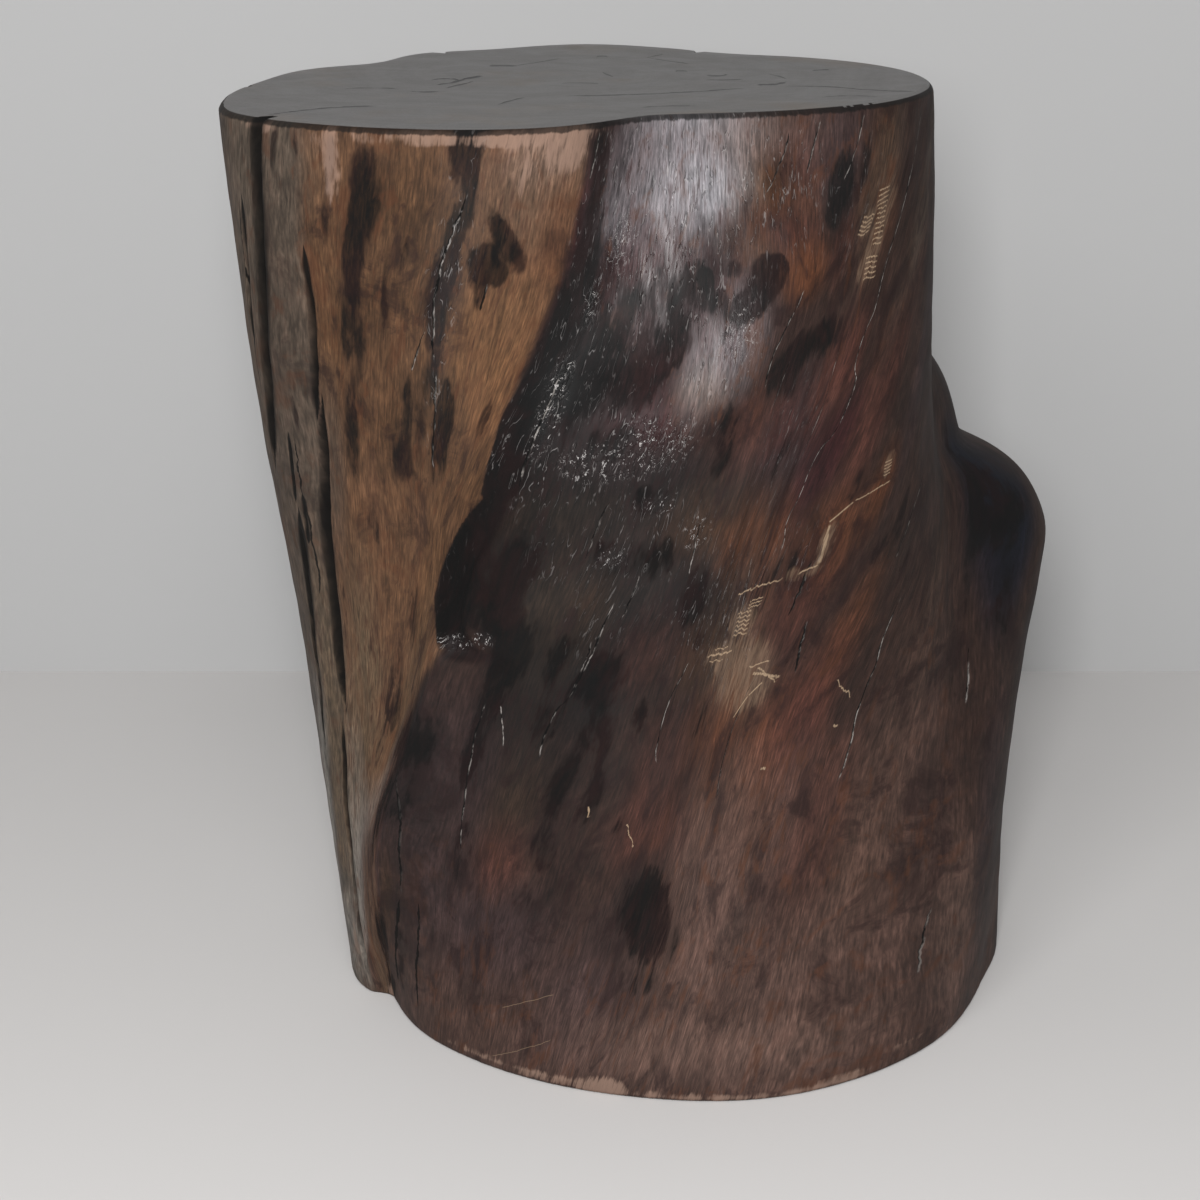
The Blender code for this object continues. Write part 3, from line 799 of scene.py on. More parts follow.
# %% Dark stains with broken edges
# Each: place in the picture, half width and half height in steps of the picture, strength, lean
dark_stains = (
    # Streaks on the plate
    (355, 225, 11, 60, 0.95, 0), (352, 290, 9, 50, 0.8, 0), (372, 200, 12, 40, 0.55, 0),
    (362, 165, 16, 22, 0.4, 0), (465, 150, 12, 34, 0.85, 0), (470, 195, 7, 34, 0.85, 0),
    (455, 235, 8, 34, 0.9, 0), (440, 290, 10, 50, 0.95, 0), (436, 350, 7, 50, 0.75, 0),
    (441, 430, 9, 50, 0.8, 0), (432, 300, 14, 34, 0.6, 0), (448, 270, 8, 26, 0.6, 0),
    (483, 264, 14, 20, 1.0, 0), (505, 238, 11, 28, 1.0, -0.5), (500, 275, 10, 12, 0.8, 0),
    (481, 290, 4, 22, 0.6, 0), (402, 460, 14, 26, 0.9, 0), (408, 410, 6, 34, 0.7, 0),
    (352, 440, 9, 40, 0.7, 0), (345, 330, 6, 40, 0.5, 0), (425, 395, 8, 30, 0.45, 0),
    (325, 215, 6, 30, 0.35, 0), (405, 245, 7, 30, 0.4, 0), (385, 290, 5, 40, 0.35, 0),
    (415, 620, 5, 40, 0.35, 0), (392, 690, 6, 50, 0.5, 0), (400, 650, 4, 40, 0.4, 0),
    (372, 520, 8, 20, 0.35, 0), (345, 500, 7, 30, 0.3, 0), (486, 420, 6, 26, 0.4, 0),
    (292, 150, 8, 30, 0.4, 0), (275, 150, 6, 26, 0.5, 0), (296, 420, 6, 30, 0.4, 0),
    (378, 545, 5, 26, 0.3, 0), (430, 530, 5, 34, 0.3, 0), (365, 200, 10, 40, 0.7, 0),
    (385, 330, 8, 30, 0.5, 0), (352, 400, 8, 30, 0.5, 0), (420, 440, 6, 40, 0.5, 0),
    (475, 130, 14, 16, 0.6, 0), (448, 410, 7, 34, 0.6, 0), (360, 350, 6, 40, 0.5, 0),
    (398, 700, 5, 40, 0.5, 0), (382, 740, 5, 40, 0.4, 0), (345, 620, 6, 60, 0.3, 0),
    (410, 600, 5, 50, 0.4, 0), (330, 160, 8, 26, 0.35, 0),
    # The valley and the hollow, where these stains are partly painted shade
    (600, 145, 8, 24, 0.8, 0), (596, 190, 8, 34, 0.8, 0), (588, 250, 12, 40, 0.8, 0),
    (570, 310, 18, 40, 0.8, 0), (545, 370, 24, 44, 0.85, 0), (520, 430, 26, 40, 0.9, 0),
    (500, 480, 24, 34, 0.95, 0), (600, 360, 26, 30, 0.6, 0), (470, 560, 24, 50, 1.0, 0),
    (460, 610, 24, 40, 1.0, 0), (500, 590, 22, 50, 0.95, 0), (510, 650, 24, 36, 0.95, 0),
    (525, 560, 24, 26, 0.6, 0), (480, 520, 20, 30, 1.0, 0), (600, 450, 34, 20, 0.6, 0),
    (600, 330, 34, 50, 0.55, 0), (570, 380, 40, 50, 0.9, 0), (632, 385, 26, 40, 0.65, 0),
    (640, 300, 20, 30, 0.3, 0), (690, 290, 20, 22, 0.6, 0), (676, 325, 18, 34, 0.65, 0),
    (662, 305, 22, 40, 0.3, 0), (655, 360, 20, 34, 0.6, 0), (720, 305, 12, 14, 0.5, 0),
    # Knots and dark places on the upper stem
    (770, 271, 15, 15, 1.0, 0), (748, 306, 18, 20, 1.0, 0.6), (757, 290, 12, 14, 0.8, 0),
    (802, 350, 26, 24, 0.9, 0.8), (780, 380, 20, 24, 0.6, 0), (846, 172, 14, 22, 0.65, 0),
    (838, 202, 15, 24, 0.7, 0), (868, 160, 8, 30, 0.5, 0), (712, 300, 12, 12, 0.6, 0),
    (735, 270, 10, 10, 0.4, 0), (800, 300, 10, 12, 0.4, 0), (828, 330, 12, 16, 0.45, 0),
    (788, 455, 14, 30, 0.4, 0), (905, 170, 5, 40, 0.4, 0), (700, 275, 8, 16, 0.4, 0),
    (730, 420, 12, 26, 0.5, 0), (720, 460, 14, 20, 0.45, 0),
    # The body below
    (650, 500, 20, 16, 0.6, 0), (610, 560, 26, 20, 0.6, 0), (655, 560, 18, 22, 0.6, 0),
    (695, 595, 14, 30, 0.75, 0), (600, 680, 24, 30, 0.9, 0), (598, 730, 16, 26, 0.7, 0),
    (560, 660, 16, 30, 0.5, 0), (545, 720, 16, 30, 0.6, 0), (490, 700, 16, 34, 0.6, 0),
    (470, 760, 12, 40, 0.7, 0), (425, 745, 18, 34, 0.6, 0), (405, 800, 12, 40, 0.6, 0),
    (560, 790, 14, 40, 0.75, 0), (590, 800, 12, 34, 0.6, 0), (545, 850, 16, 26, 0.5, 0),
    (652, 922, 34, 60, 0.55, -0.45), (640, 900, 18, 34, 0.7, 0), (600, 760, 10, 24, 0.5, 0),
    (790, 560, 10, 26, 0.55, 0), (765, 590, 10, 30, 0.55, 0), (760, 640, 8, 30, 0.4, 0),
    (800, 640, 8, 34, 0.4, 0), (880, 540, 12, 30, 0.5, 0), (905, 560, 10, 40, 0.4, 0),
    (640, 720, 12, 26, 0.4, 0), (700, 720, 8, 30, 0.35, 0), (520, 900, 20, 26, 0.35, 0),
    (405, 960, 12, 40, 0.6, 0), (395, 985, 10, 16, 0.7, 0), (385, 930, 8, 40, 0.5, 0),
    (460, 850, 14, 40, 0.45, 0), (620, 830, 10, 20, 0.4, 0), (860, 480, 12, 22, 0.4, 0),
    (900, 520, 10, 34, 0.45, 0), (640, 985, 16, 16, 0.35, 0), (700, 640, 12, 16, 0.4, 0),
    # The burl
    (985, 500, 22, 50, 0.6, 0), (1010, 520, 22, 50, 0.7, 0), (965, 470, 8, 50, 0.8, 0),
    (968, 560, 8, 60, 0.6, 0), (1005, 600, 20, 40, 0.5, 0),
)
for x, y, wide, tall, strength, lean in dark_stains:
    add_to(stain, on_its_side(dab(x, y, wide, tall, lean), x, y) * strength)
# Knots have a harder edge. Each: place, half width, half height, lean
knots = (
    (650, 922, 25, 42, -0.3), (770, 271, 14, 15, 0.0), (748, 305, 17, 16, 0.5),
    (483, 262, 13, 17, 0.0), (708, 282, 9, 12, 0.0), (505, 240, 8, 22, -0.5),
)
for x, y, wide, tall, lean in knots:
    add_to(stain, dab(x, y, wide, tall, lean, knot_edge))
print(len(dark_stains), "stains and", len(knots), "knots")

# %% Worn places, from rubbing at the rim and the foot
# Each: place in the picture, half width and half height in steps of the picture, strength
worn_places = (
    (350, 134, 40, 9, 0.45), (322, 146, 12, 18, 0.35), (420, 138, 30, 8, 0.5),
    (540, 136, 60, 9, 0.5), (566, 150, 20, 22, 0.6), (500, 140, 40, 6, 0.45),
    (332, 175, 10, 34, 0.45), (520, 175, 20, 30, 0.3), (600, 1088, 26, 12, 0.9),
    (680, 1097, 60, 5, 0.5), (800, 1092, 60, 6, 0.5), (850, 1076, 40, 6, 0.5),
    (540, 1076, 40, 6, 0.5), (480, 1054, 60, 4, 0.4), (355, 940, 8, 34, 0.5),
    (262, 122, 30, 6, 0.4), (900, 1046, 40, 5, 0.4),
)
for x, y, wide, tall, strength in worn_places:
    add_to(worn, dab(x, y, wide, tall) * strength)
print(len(worn_places), "worn places")

# %% Rough places, pooled varnish, eaten wood and flecked wood
# Each place is listed as the worn ones are
rough_places = (
    (690, 180, 100, 90, 0.8), (638, 268, 66, 86, 0.9), (722, 350, 32, 66, 1.0),
    (560, 460, 70, 50, 0.9), (640, 440, 50, 40, 0.9), (650, 520, 40, 30, 0.7),
    (590, 560, 60, 30, 0.5), (455, 240, 20, 100, 0.6), (440, 340, 10, 100, 0.6),
    (760, 180, 60, 60, 0.7), (730, 620, 60, 70, 0.6), (700, 600, 40, 50, 0.6),
    (800, 560, 30, 40, 0.5), (670, 160, 60, 40, 0.5), (560, 380, 30, 90, 0.7),
    (860, 200, 30, 60, 0.4), (600, 620, 30, 40, 0.4), (790, 440, 30, 60, 0.4),
)
pooled_places = (
    (598, 464, 36, 18, 0.85), (650, 445, 36, 24, 1.0), (455, 645, 14, 8, 1.0),
    (482, 641, 10, 8, 1.0), (660, 506, 14, 9, 0.8), (696, 532, 12, 16, 0.7),
    (610, 560, 14, 10, 0.7), (548, 420, 12, 40, 0.6), (560, 380, 10, 30, 0.5),
    (620, 240, 12, 30, 0.5), (592, 305, 8, 22, 0.5), (745, 330, 16, 30, 0.5),
)
eaten_places = (
    (882, 214, 13, 34, 0.9), (868, 262, 10, 18, 0.8), (868, 222, 12, 12, 0.8),
    (888, 465, 8, 12, 0.8), (744, 620, 14, 16, 0.7), (745, 665, 26, 26, 0.9),
    (724, 655, 22, 12, 0.7), (750, 690, 22, 22, 0.7), (826, 545, 10, 24, 0.8),
    (800, 573, 16, 7, 0.7),
)
flecked_places = (
    (360, 240, 22, 90, 0.9), (352, 330, 16, 70, 0.7), (385, 200, 26, 60, 0.7),
    (440, 170, 34, 40, 0.8), (455, 240, 24, 60, 0.8), (420, 330, 40, 50, 0.7),
    (400, 410, 30, 60, 0.6), (440, 440, 24, 60, 0.5), (500, 240, 30, 50, 0.5),
    (380, 140, 40, 20, 0.5), (400, 560, 16, 70, 0.4), (395, 680, 12, 60, 0.5),
    (490, 330, 20, 60, 0.5), (430, 250, 80, 130, 0.5), (410, 430, 60, 130, 0.55),
    (375, 620, 36, 150, 0.45),
)
layers = (
    (rough, rough_places), (pooled, pooled_places),
    (eaten, eaten_places), (flecked, flecked_places))
for layer, table in layers:
    for x, y, wide, tall, strength in table:
        add_to(layer, on_its_side(dab(x, y, wide, tall), x, y) * strength)
print([len(table) for _, table in layers], "rough, pooled, eaten and flecked places")

# %% The side that the picture doesn't show
# The same kinds of tone and stain go round the back, strewn by a fixed seed
strewn = np.random.default_rng(11)
back_first, back_last = 60.0, 205.0
size_shares = (0.6, 1.6)
back_tones = (
    "slate brown", "brown", "olive tan", "red brown", "body", "purple brown", "tan", "dark brown")


def strewn_dab(wide, tall, hardness):
    """A dab at a random place of the back, with half sizes in metres, varied at random."""
    line = strewn.uniform(back_first, back_last)
    height = strewn.uniform(0, seat_height)
    across = line_gap(line) / (wide * strewn.uniform(*size_shares))
    along = (point_height - height) / (tall * strewn.uniform(*size_shares))
    return soft_spot(across, along, hardness)


strewn_tones, strewn_stains, strewn_knots, strewn_rough = 90, 60, 8, 14
for count in range(strewn_tones):
    wash(strewn_dab(0.022, 0.070, 0.1), back_tones[count % len(back_tones)], 0.6)
for count in range(strewn_stains):
    add_to(stain, strewn_dab(0.004, 0.022, 0.4) * strewn.uniform(0.3, 0.95))
for count in range(strewn_knots):
    add_to(stain, strewn_dab(0.008, 0.008, 0.4))
for count in range(strewn_rough):
    add_to(rough, strewn_dab(0.020, 0.040, 0.2) * 0.7)
print(strewn_tones, "strewn tones,", strewn_stains, "stains and", strewn_knots, "knots")

# %% Hand the layers to the mesh


def point_colour(name, red, green, blue):
    """Stores three values for each point of the log under one name."""
    layer = log.data.attributes.new(name, "FLOAT_COLOR", "POINT")
    values = np.column_stack([red, green, blue, np.ones(len(points))])
    layer.data.foreach_set("color", values.astype(np.float32).ravel())


point_colour("ground", *ground.T)
point_colour("marks", stain, worn, rough)
point_colour("finish", pooled, eaten, flecked)

loop_points = np.zeros(len(log.data.loops), dtype=int)
log.data.loops.foreach_get("vertex_index", loop_points)
face_starts = np.zeros(len(log.data.polygons), dtype=int)
log.data.polygons.foreach_get("loop_start", face_starts)
face_sizes = np.diff(np.append(face_starts, len(loop_points)))
loop_columns = column_of[loop_points]
last_column = np.repeat(np.maximum.reduceat(loop_columns, face_starts), face_sizes)
across_seam = (loop_columns == 0) & (last_column > column_count // 2)
along_line = (column_lines[loop_columns] - back_seam) / full_turn + across_seam
grain_map = log.data.uv_layers.new(name="grain")
grain_places = np.column_stack([along_line, point_height[loop_points] / seat_height])
grain_map.data.foreach_set("uv", grain_places.astype(np.float32).ravel())
print("layers:", [layer.name for layer in (*log.data.color_attributes, *log.data.uv_layers)])

# %% [markdown]
# ## Node groups for the wood
#
# The sides and the sawn seat are different finishes of the same wood, and share several effects. So
# each effect is a node group with named sockets, built once: coordinates that run along the grain,
# fibres, stains with broken edges, the way in which cracks waver, fine cracks, and the strokes and
# ladders of insect galleries. A group puts out only values and vectors, and the shader itself stays
# in each material.

# %% Small helpers for nodes


class Board:
    """A node tree with short words for what the wood's materials need most."""

    def __init__(self, tree):
        self.tree = tree

    def add(self, kind, **settings):
        made = self.tree.nodes.new(kind)
        for name, value in settings.items():
            setattr(made, name, value)
        return made

    def feed(self, socket, value):
        if isinstance(value, bpy.types.NodeSocket):
            self.tree.links.new(value, socket)
        elif value is not None:
            socket.default_value = value

    def sum(self, operation, first, second=None, third=None):
        made = self.add("ShaderNodeMath", operation=operation)
        for socket, value in zip(made.inputs, (first, second, third)):
            self.feed(socket, value)
        return made.outputs[0]

    def times(self, first, second):
        return self.sum("MULTIPLY", first, second)

    def times_plus(self, first, second, third):
        return self.sum("MULTIPLY_ADD", first, second, third)

    def near(self, value, middle, inner, outer):
        """1 where the value lies within the inner gap of the middle, and 0 beyond the outer gap."""
        gap = self.sum("SUBTRACT", value, middle)
        return self.ramp(self.sum("ABSOLUTE", gap), inner, outer, 1.0, 0.0)

    def ramp(self, value, low, high, to_low=0.0, to_high=1.0):
        """An eased step from to_low to to_high as the value goes from low to high."""
        made = self.add("ShaderNodeMapRange", interpolation_type="SMOOTHSTEP")
        limits = (("From Min", low), ("From Max", high), ("To Min", to_low), ("To Max", to_high))
        for name, given in (("Value", value), *limits):
            self.feed(made.inputs[name], given)
        return made.outputs["Result"]

    def mix(self, share, first, second, blend="MIX"):
        made = self.add("ShaderNodeMix", data_type="RGBA", blend_type=blend, clamp_factor=True)
        self.feed(made.inputs["Factor"], share)
        for socket, value in ((made.inputs[6], first), (made.inputs[7], second)):
            is_socket = isinstance(value, bpy.types.NodeSocket)
            self.feed(socket, value if is_socket else (*value, 1.0))
        return made.outputs[2]

    def noise(self, vector, scale, detail=2.0, roughness=0.5, distortion=0.0):
        made = self.add("ShaderNodeTexNoise")
        self.feed(made.inputs["Vector"], vector)
        self.feed(made.inputs["Scale"], scale)
        self.feed(made.inputs["Detail"], detail)
        self.feed(made.inputs["Roughness"], roughness)
        self.feed(made.inputs["Distortion"], distortion)
        return made.outputs["Fac"]

    def swing(self, vector, scale, detail=3.0, roughness=0.6, distortion=0.4):
        """The same noise, made stronger and centred: mostly between -1 and 1."""
        return self.times_plus(self.noise(vector, scale, detail, roughness, distortion), 9.0, -4.5)

    def stretch(self, vector, along=(1.0, 1.0, 1.0), shift=(0.0, 0.0, 0.0)):
        made = self.add("ShaderNodeMapping")
        self.feed(made.inputs["Vector"], vector)
        made.inputs["Scale"].default_value = along
        made.inputs["Location"].default_value = shift
        return made.outputs["Vector"]

    def curve(self, at, places, values, margin):
        """Reads a value off a smooth curve through places, and gives the share of the way along."""
        low, high = places[0], places[-1]
        least, most = min(values) - margin, max(values) + margin
        share = self.add("ShaderNodeMapRange", clamp=False)
        self.feed(share.inputs["Value"], at)
        share.inputs["From Min"].default_value, share.inputs["From Max"].default_value = low, high
        bend = self.add("ShaderNodeFloatCurve")
        points = bend.mapping.curves[0].points
        ways = [((place - low) / (high - low), (value - least) / (most - least))
                for place, value in zip(places, values)]
        points[0].location, points[1].location = ways[0], ways[-1]
        for way in ways[1:-1]:
            points.new(*way)
        bend.mapping.update()
        self.feed(bend.inputs["Value"], share.outputs["Result"])
        line = self.times_plus(bend.outputs[0], float(most - least), float(least))
        return line, share.outputs["Result"]

    def use(self, group, **values):
        made = self.add("ShaderNodeGroup", node_tree=group)
        for name, value in values.items():
            self.feed(made.inputs[name.replace("_", " ")], value)
        return made.outputs


def new_group(name, inputs, outputs):
    """An empty node group with named sockets, its board, and its two ends."""
    group = bpy.data.node_groups.new(name, "ShaderNodeTree")
    for socket_name, kind, value in inputs:
        socket = group.interface.new_socket(name=socket_name, in_out="INPUT", socket_type=kind)
        if value is not None:
            socket.default_value = value
    for socket_name, kind in outputs:
        group.interface.new_socket(name=socket_name, in_out="OUTPUT", socket_type=kind)
    board = Board(group)
    print("group", name, "gives", [socket_name for socket_name, _ in outputs])
    return group, board, board.add("NodeGroupInput").outputs, board.add("NodeGroupOutput").inputs


VALUE, VECTOR = "NodeSocketFloat", "NodeSocketVector"

# %% Group: along the grain
# The map's U is a grain line, so turning it into a circle gives coordinates without a seam, in
# which a straight fibre follows the twist of the trunk
grain_radius = 0.155
along_grain, board, given, result = new_group(
    "along the grain", (("Map", VECTOR, None),),
    (("Grain", VECTOR), ("Line", VALUE), ("Height", VALUE)))
parts = board.add("ShaderNodeSeparateXYZ")
board.feed(parts.inputs[0], given["Map"])
turn = board.times(parts.outputs["X"], 2 * math.pi)
height = board.times(parts.outputs["Y"], seat_height)
round_place = board.add("ShaderNodeCombineXYZ")
board.feed(round_place.inputs["X"], board.times(board.sum("COSINE", turn), grain_radius))
board.feed(round_place.inputs["Y"], board.times(board.sum("SINE", turn), grain_radius))
board.feed(round_place.inputs["Z"], height)
board.feed(result["Grain"], round_place.outputs[0])
board.feed(result["Line"], board.times_plus(parts.outputs["X"], full_turn, back_seam))
board.feed(result["Height"], height)

# %% Group: fibres
# Noises drawn out along the grain: hair-fine fibres, flecks, and broad streaks
fibres_group, board, given, result = new_group(
    "fibres", (("Grain", VECTOR, None),),
    (("Fine", VALUE), ("Fleck", VALUE), ("Broad", VALUE), ("Long", VALUE), ("Pore", VALUE)))
place = board.stretch(given["Grain"], (1.0, 1.0, 0.10))
board.feed(result["Fine"], board.swing(place, 1300.0, 2.0, 0.6, 0.0))
place = board.stretch(given["Grain"], (1.0, 1.0, 0.20), (0.3, 0.1, 0.0))
board.feed(result["Fleck"], board.swing(place, 520.0))
place = board.stretch(given["Grain"], (1.0, 1.0, 0.34), (0.0, 0.7, 0.2))
board.feed(result["Broad"], board.swing(place, 130.0))
place = board.stretch(given["Grain"], (1.0, 1.0, 0.07), (0.6, 0.3, 0.1))
threads = board.swing(place, 330.0, 3.0, 0.65, 0.2)
place = board.stretch(given["Grain"], (1.0, 1.0, 0.16), (0.2, 0.6, 0.1))
streaks = board.swing(place, 150.0, 4.0, 0.65, 0.3)
board.feed(result["Long"], board.times_plus(streaks, 0.6, board.times(threads, 0.7)))
place = board.stretch(given["Grain"], (1.0, 1.0, 0.15), (0.2, 0.4, 0.6))
pore_noise = board.noise(place, 900.0, 1.0, 0.4)
board.feed(result["Pore"], board.ramp(pore_noise, 0.30, 0.36, 1.0, 0.0))

# %% Group: broken edge
# Turns a soft mask into a stain whose edge is drawn out along the fibres
broken_edge, board, given, result = new_group(
    "broken edge",
    (("Mask", VALUE, 0.0), ("Fine", VALUE, 0.0), ("Fleck", VALUE, 0.0), ("Broad", VALUE, 0.0),
     ("Raggedness", VALUE, 0.3), ("Softness", VALUE, 0.2)),
    (("Mask", VALUE),))
tear = board.times_plus(given["Fine"], 0.25, board.times_plus(given["Fleck"], 0.5, given["Broad"]))
near_stain = board.ramp(given["Mask"], 0.02, 0.30)
torn = board.times_plus(board.times(tear, near_stain), given["Raggedness"], given["Mask"])
edge_level = 0.42
edge_start = board.sum("SUBTRACT", edge_level, given["Softness"])
edge_end = board.sum("ADD", edge_level, given["Softness"])
board.feed(result["Mask"], board.ramp(torn, edge_start, edge_end))

# %% Group: how cracks waver
# Shared by all cracks of a surface, so that its noises are worked out once
crack_habit, board, given, result = new_group(
    "crack habit", (("Place", VECTOR, None),),
    (("Waver", VALUE), ("Swell", VALUE), ("Beads", VALUE)))
waver_noise = board.noise(given["Place"], 85.0, 3.0, 0.65)
board.feed(result["Waver"], board.times_plus(waver_noise, 4.0, -2.0))
swell_noise = board.noise(given["Place"], 160.0, 2.0, 0.6)
board.feed(result["Swell"], board.ramp(swell_noise, 0.35, 0.60, 0.45, 1.15))
bead_noise = board.noise(board.stretch(given["Place"], (1.0, 1.0, 0.35)), 520.0, 3.0, 0.7)
bead_gaps = board.ramp(board.noise(given["Place"], 75.0, 2.0, 0.6), 0.36, 0.52)
board.feed(result["Beads"], board.times(board.ramp(bead_noise, 0.40, 0.62), bead_gaps))

# %% Group: fine crack
# A dark line that wavers, tapers to both ends, and is partly filled with pale polish. Its pale
# beads are also painted glints on the varnish at its edges
crack_group, board, given, result = new_group(
    "fine crack",
    (("Across", VALUE, 1.0), ("Share", VALUE, 0.5), ("Width", VALUE, 0.7),
     ("Wavering", VALUE, 0.7), ("Filling", VALUE, 0.5), ("Waver", VALUE, 0.0),
     ("Swell", VALUE, 1.0), ("Beads", VALUE, 0.0)),
    (("Dark", VALUE), ("Bead", VALUE)))
wavered = board.times_plus(given["Waver"], given["Wavering"], given["Across"])
from_middle = board.sum("ABSOLUTE", board.times_plus(given["Share"], 2.0, -1.0))
taper = board.ramp(from_middle, 0.70, 1.0, 1.0, 0.0)
half_width = board.times(board.times(given["Width"], 0.5), board.times(taper, given["Swell"]))
dark = board.ramp(board.sum("ABSOLUTE", wavered), board.times(half_width, 0.5),
                  board.times_plus(half_width, 1.3, 0.02), 1.0, 0.0)
board.feed(result["Dark"], board.times(dark, board.ramp(taper, 0.0, 0.15)))
beside = board.near(wavered, 0.25, 0.14, 0.42)
bead = board.times(board.times(given["Beads"], given["Filling"]), beside)
board.feed(result["Bead"], board.times(bead, board.ramp(taper, 0.0, 0.3)))

# %% Groups: stroke and ladder
# A stroke is a short straight line. A ladder is a row of short rungs. Both are found by two
# measures of the place, each the dot product with a vector: how far along it lies, and how far to
# the side
measure_inputs = (
    ("Place", VECTOR, None), ("Run", VECTOR, None), ("Run start", VALUE, 0.0),
    ("Side", VECTOR, None), ("Side start", VALUE, 0.0),
    ("Width", VALUE, 1.0), ("Spacing", VALUE, 1.0), ("Rungs", VALUE, 1.0))


def measures(board, given):
    for vector, start in (("Run", "Run start"), ("Side", "Side start")):
        dot = board.add("ShaderNodeVectorMath", operation="DOT_PRODUCT")
        board.feed(dot.inputs[0], given["Place"])
        board.feed(dot.inputs[1], given[vector])
        yield board.sum("ADD", dot.outputs["Value"], given[start])


def line_mask(board, miss, width):
    """1 inside half of the width, and 0 a tenth of a millimetre outside it."""
    gap = board.sum("ABSOLUTE", miss)
    return board.ramp(gap, board.times(width, 0.25), board.times_plus(width, 0.5, 0.12), 1.0, 0.0)


def inside_mask(board, share, fade):
    return board.near(share, 0.5, 0.5 - fade, 0.5)


stroke_group, board, given, result = new_group("stroke", measure_inputs[:6], (("Mask", VALUE),))
run, side_way = measures(board, given)
stroke = board.times(line_mask(board, side_way, given["Width"]), inside_mask(board, run, 0.06))
board.feed(result["Mask"], stroke)
ladder_group, board, given, result = new_group("ladder", measure_inputs, (("Mask", VALUE),))
run, side_way = measures(board, given)
between_rungs = board.sum("SUBTRACT", board.sum("FRACT", board.times(run, given["Rungs"])), 0.5)
rungs = line_mask(board, board.times(between_rungs, given["Spacing"]), given["Width"])
within = board.times(inside_mask(board, run, 0.01), inside_mask(board, side_way, 0.12))
board.feed(result["Mask"], board.times(rungs, within))

# %% [markdown]
# ## The varnished side
#
# The sides are sanded, stained by the wood's own oils and varnished. The colour starts from the
# tones that were dabbed on the mesh. Fibres, mottling, stains, cracks and pale insect galleries are
# laid over it in that order. The varnish is thin and satin, so there is no coat on top of the wood:
# its roughness says how glossy a place is. It is smoothest on the rubbed upper stems, and rougher
# on stains, in cracks and at the worn rim. The bump has three sizes: fibres, torn grain where the
# plane lifted it, and ripples with blisters where the varnish pooled. The pale edges of blisters
# and tears are painted, because glints as small as those would be lost in the noise of a render.

# %% Coordinates and masks
side = bpy.data.materials.new("varnished side")
side.use_nodes = True
board = Board(side.node_tree)
side_shader = side.node_tree.nodes["Principled BSDF"]
map_node = board.add("ShaderNodeUVMap", uv_map="grain")
grain = board.use(along_grain, Map=map_node.outputs["UV"])
ground_layer = board.add("ShaderNodeAttribute", attribute_name="ground").outputs["Color"]


def three_masks(name):
    """The three values that the points of the log hold under one name."""
    parts = board.add("ShaderNodeSeparateColor")
    layer = board.add("ShaderNodeAttribute", attribute_name=name)
    board.feed(parts.inputs[0], layer.outputs["Color"])
    return parts.outputs[:3]


stain_mask, worn_mask, rough_mask = three_masks("marks")
pooled_mask, eaten_mask, flecked_mask = three_masks("finish")
fibre = board.use(fibres_group, Grain=grain["Grain"])
print("the material reads", grain.keys(), "and", fibre.keys())

# %% Ground, fibres and mottling
# Each noise makes the ground lighter or darker by a share of a doubling
paleness = board.add("ShaderNodeRGBToBW")
board.feed(paleness.inputs[0], ground_layer)
sapwood = board.ramp(paleness.outputs[0], 0.040, 0.080)
cloud = board.swing(board.stretch(grain["Grain"], (1.0, 1.0, 0.5)), 45.0, 4.0, 0.62, 0.6)
doublings = board.times(cloud, 0.26)
doublings = board.times_plus(fibre["Broad"], board.times_plus(sapwood, 0.12, 0.15), doublings)
doublings = board.times_plus(fibre["Fleck"], board.times_plus(sapwood, 0.10, 0.30), doublings)
doublings = board.times_plus(fibre["Long"], board.times_plus(sapwood, 0.34, 0.08), doublings)
doublings = board.times_plus(fibre["Fine"], 0.36, doublings)
lit = board.add("ShaderNodeVectorMath", operation="SCALE")
board.feed(lit.inputs[0], ground_layer)
board.feed(lit.inputs["Scale"], board.sum("POWER", 2.0, doublings))
wood = lit.outputs[0]
# Flecks: on the sapwood brown and short, elsewhere soft clouds of maroon, charcoal and rust
fleck = board.times_plus(fibre["Broad"], 0.6, board.times_plus(cloud, 0.5, fibre["Fleck"]))
fleck = board.times_plus(fibre["Long"], 0.5, fleck)
fleck = board.times_plus(flecked_mask, 0.9, fleck)
fleck = board.times(board.ramp(fleck, -0.1, 2.4), sapwood)
wood = board.mix(board.times(fleck, 0.78), wood, tone("fleck"))
patch_place = board.stretch(grain["Grain"], (1.0, 1.0, 0.6), (0.1, 0.9, 0.3))
patch = board.swing(patch_place, 55.0, 5.0, 0.66, 0.8)
patch = board.times_plus(fibre["Fleck"], 0.40, board.times_plus(fibre["Fine"], 0.15, patch))
patch = board.times(board.ramp(patch, 0.0, 1.3), board.sum("SUBTRACT", 1.0, sapwood))
wood = board.mix(board.times(patch, 0.68), wood, tone("dark patch"))
warm_place = board.stretch(grain["Grain"], (1.0, 1.0, 0.6), (0.8, 0.2, 0.6))
warm = board.swing(warm_place, 80.0, 4.0, 0.62, 0.8)
warm = board.times_plus(fibre["Fleck"], -0.40, warm)
warm = board.ramp(warm, 0.2, 1.8, 0.0, 0.40)
warm = board.times(warm, board.ramp(paleness.outputs[0], 0.010, 0.032))
wood = board.mix(warm, wood, tone("rust"))
# Threads and wider streaks of dark wood run down the sapwood
thread = board.ramp(fibre["Long"], 0.1, 1.3)
thread = board.times(thread, board.times_plus(flecked_mask, 0.65, 0.25))
wood = board.mix(board.times(thread, sapwood), wood, tone("thread"))
print(len(side.node_tree.nodes), "nodes so far")


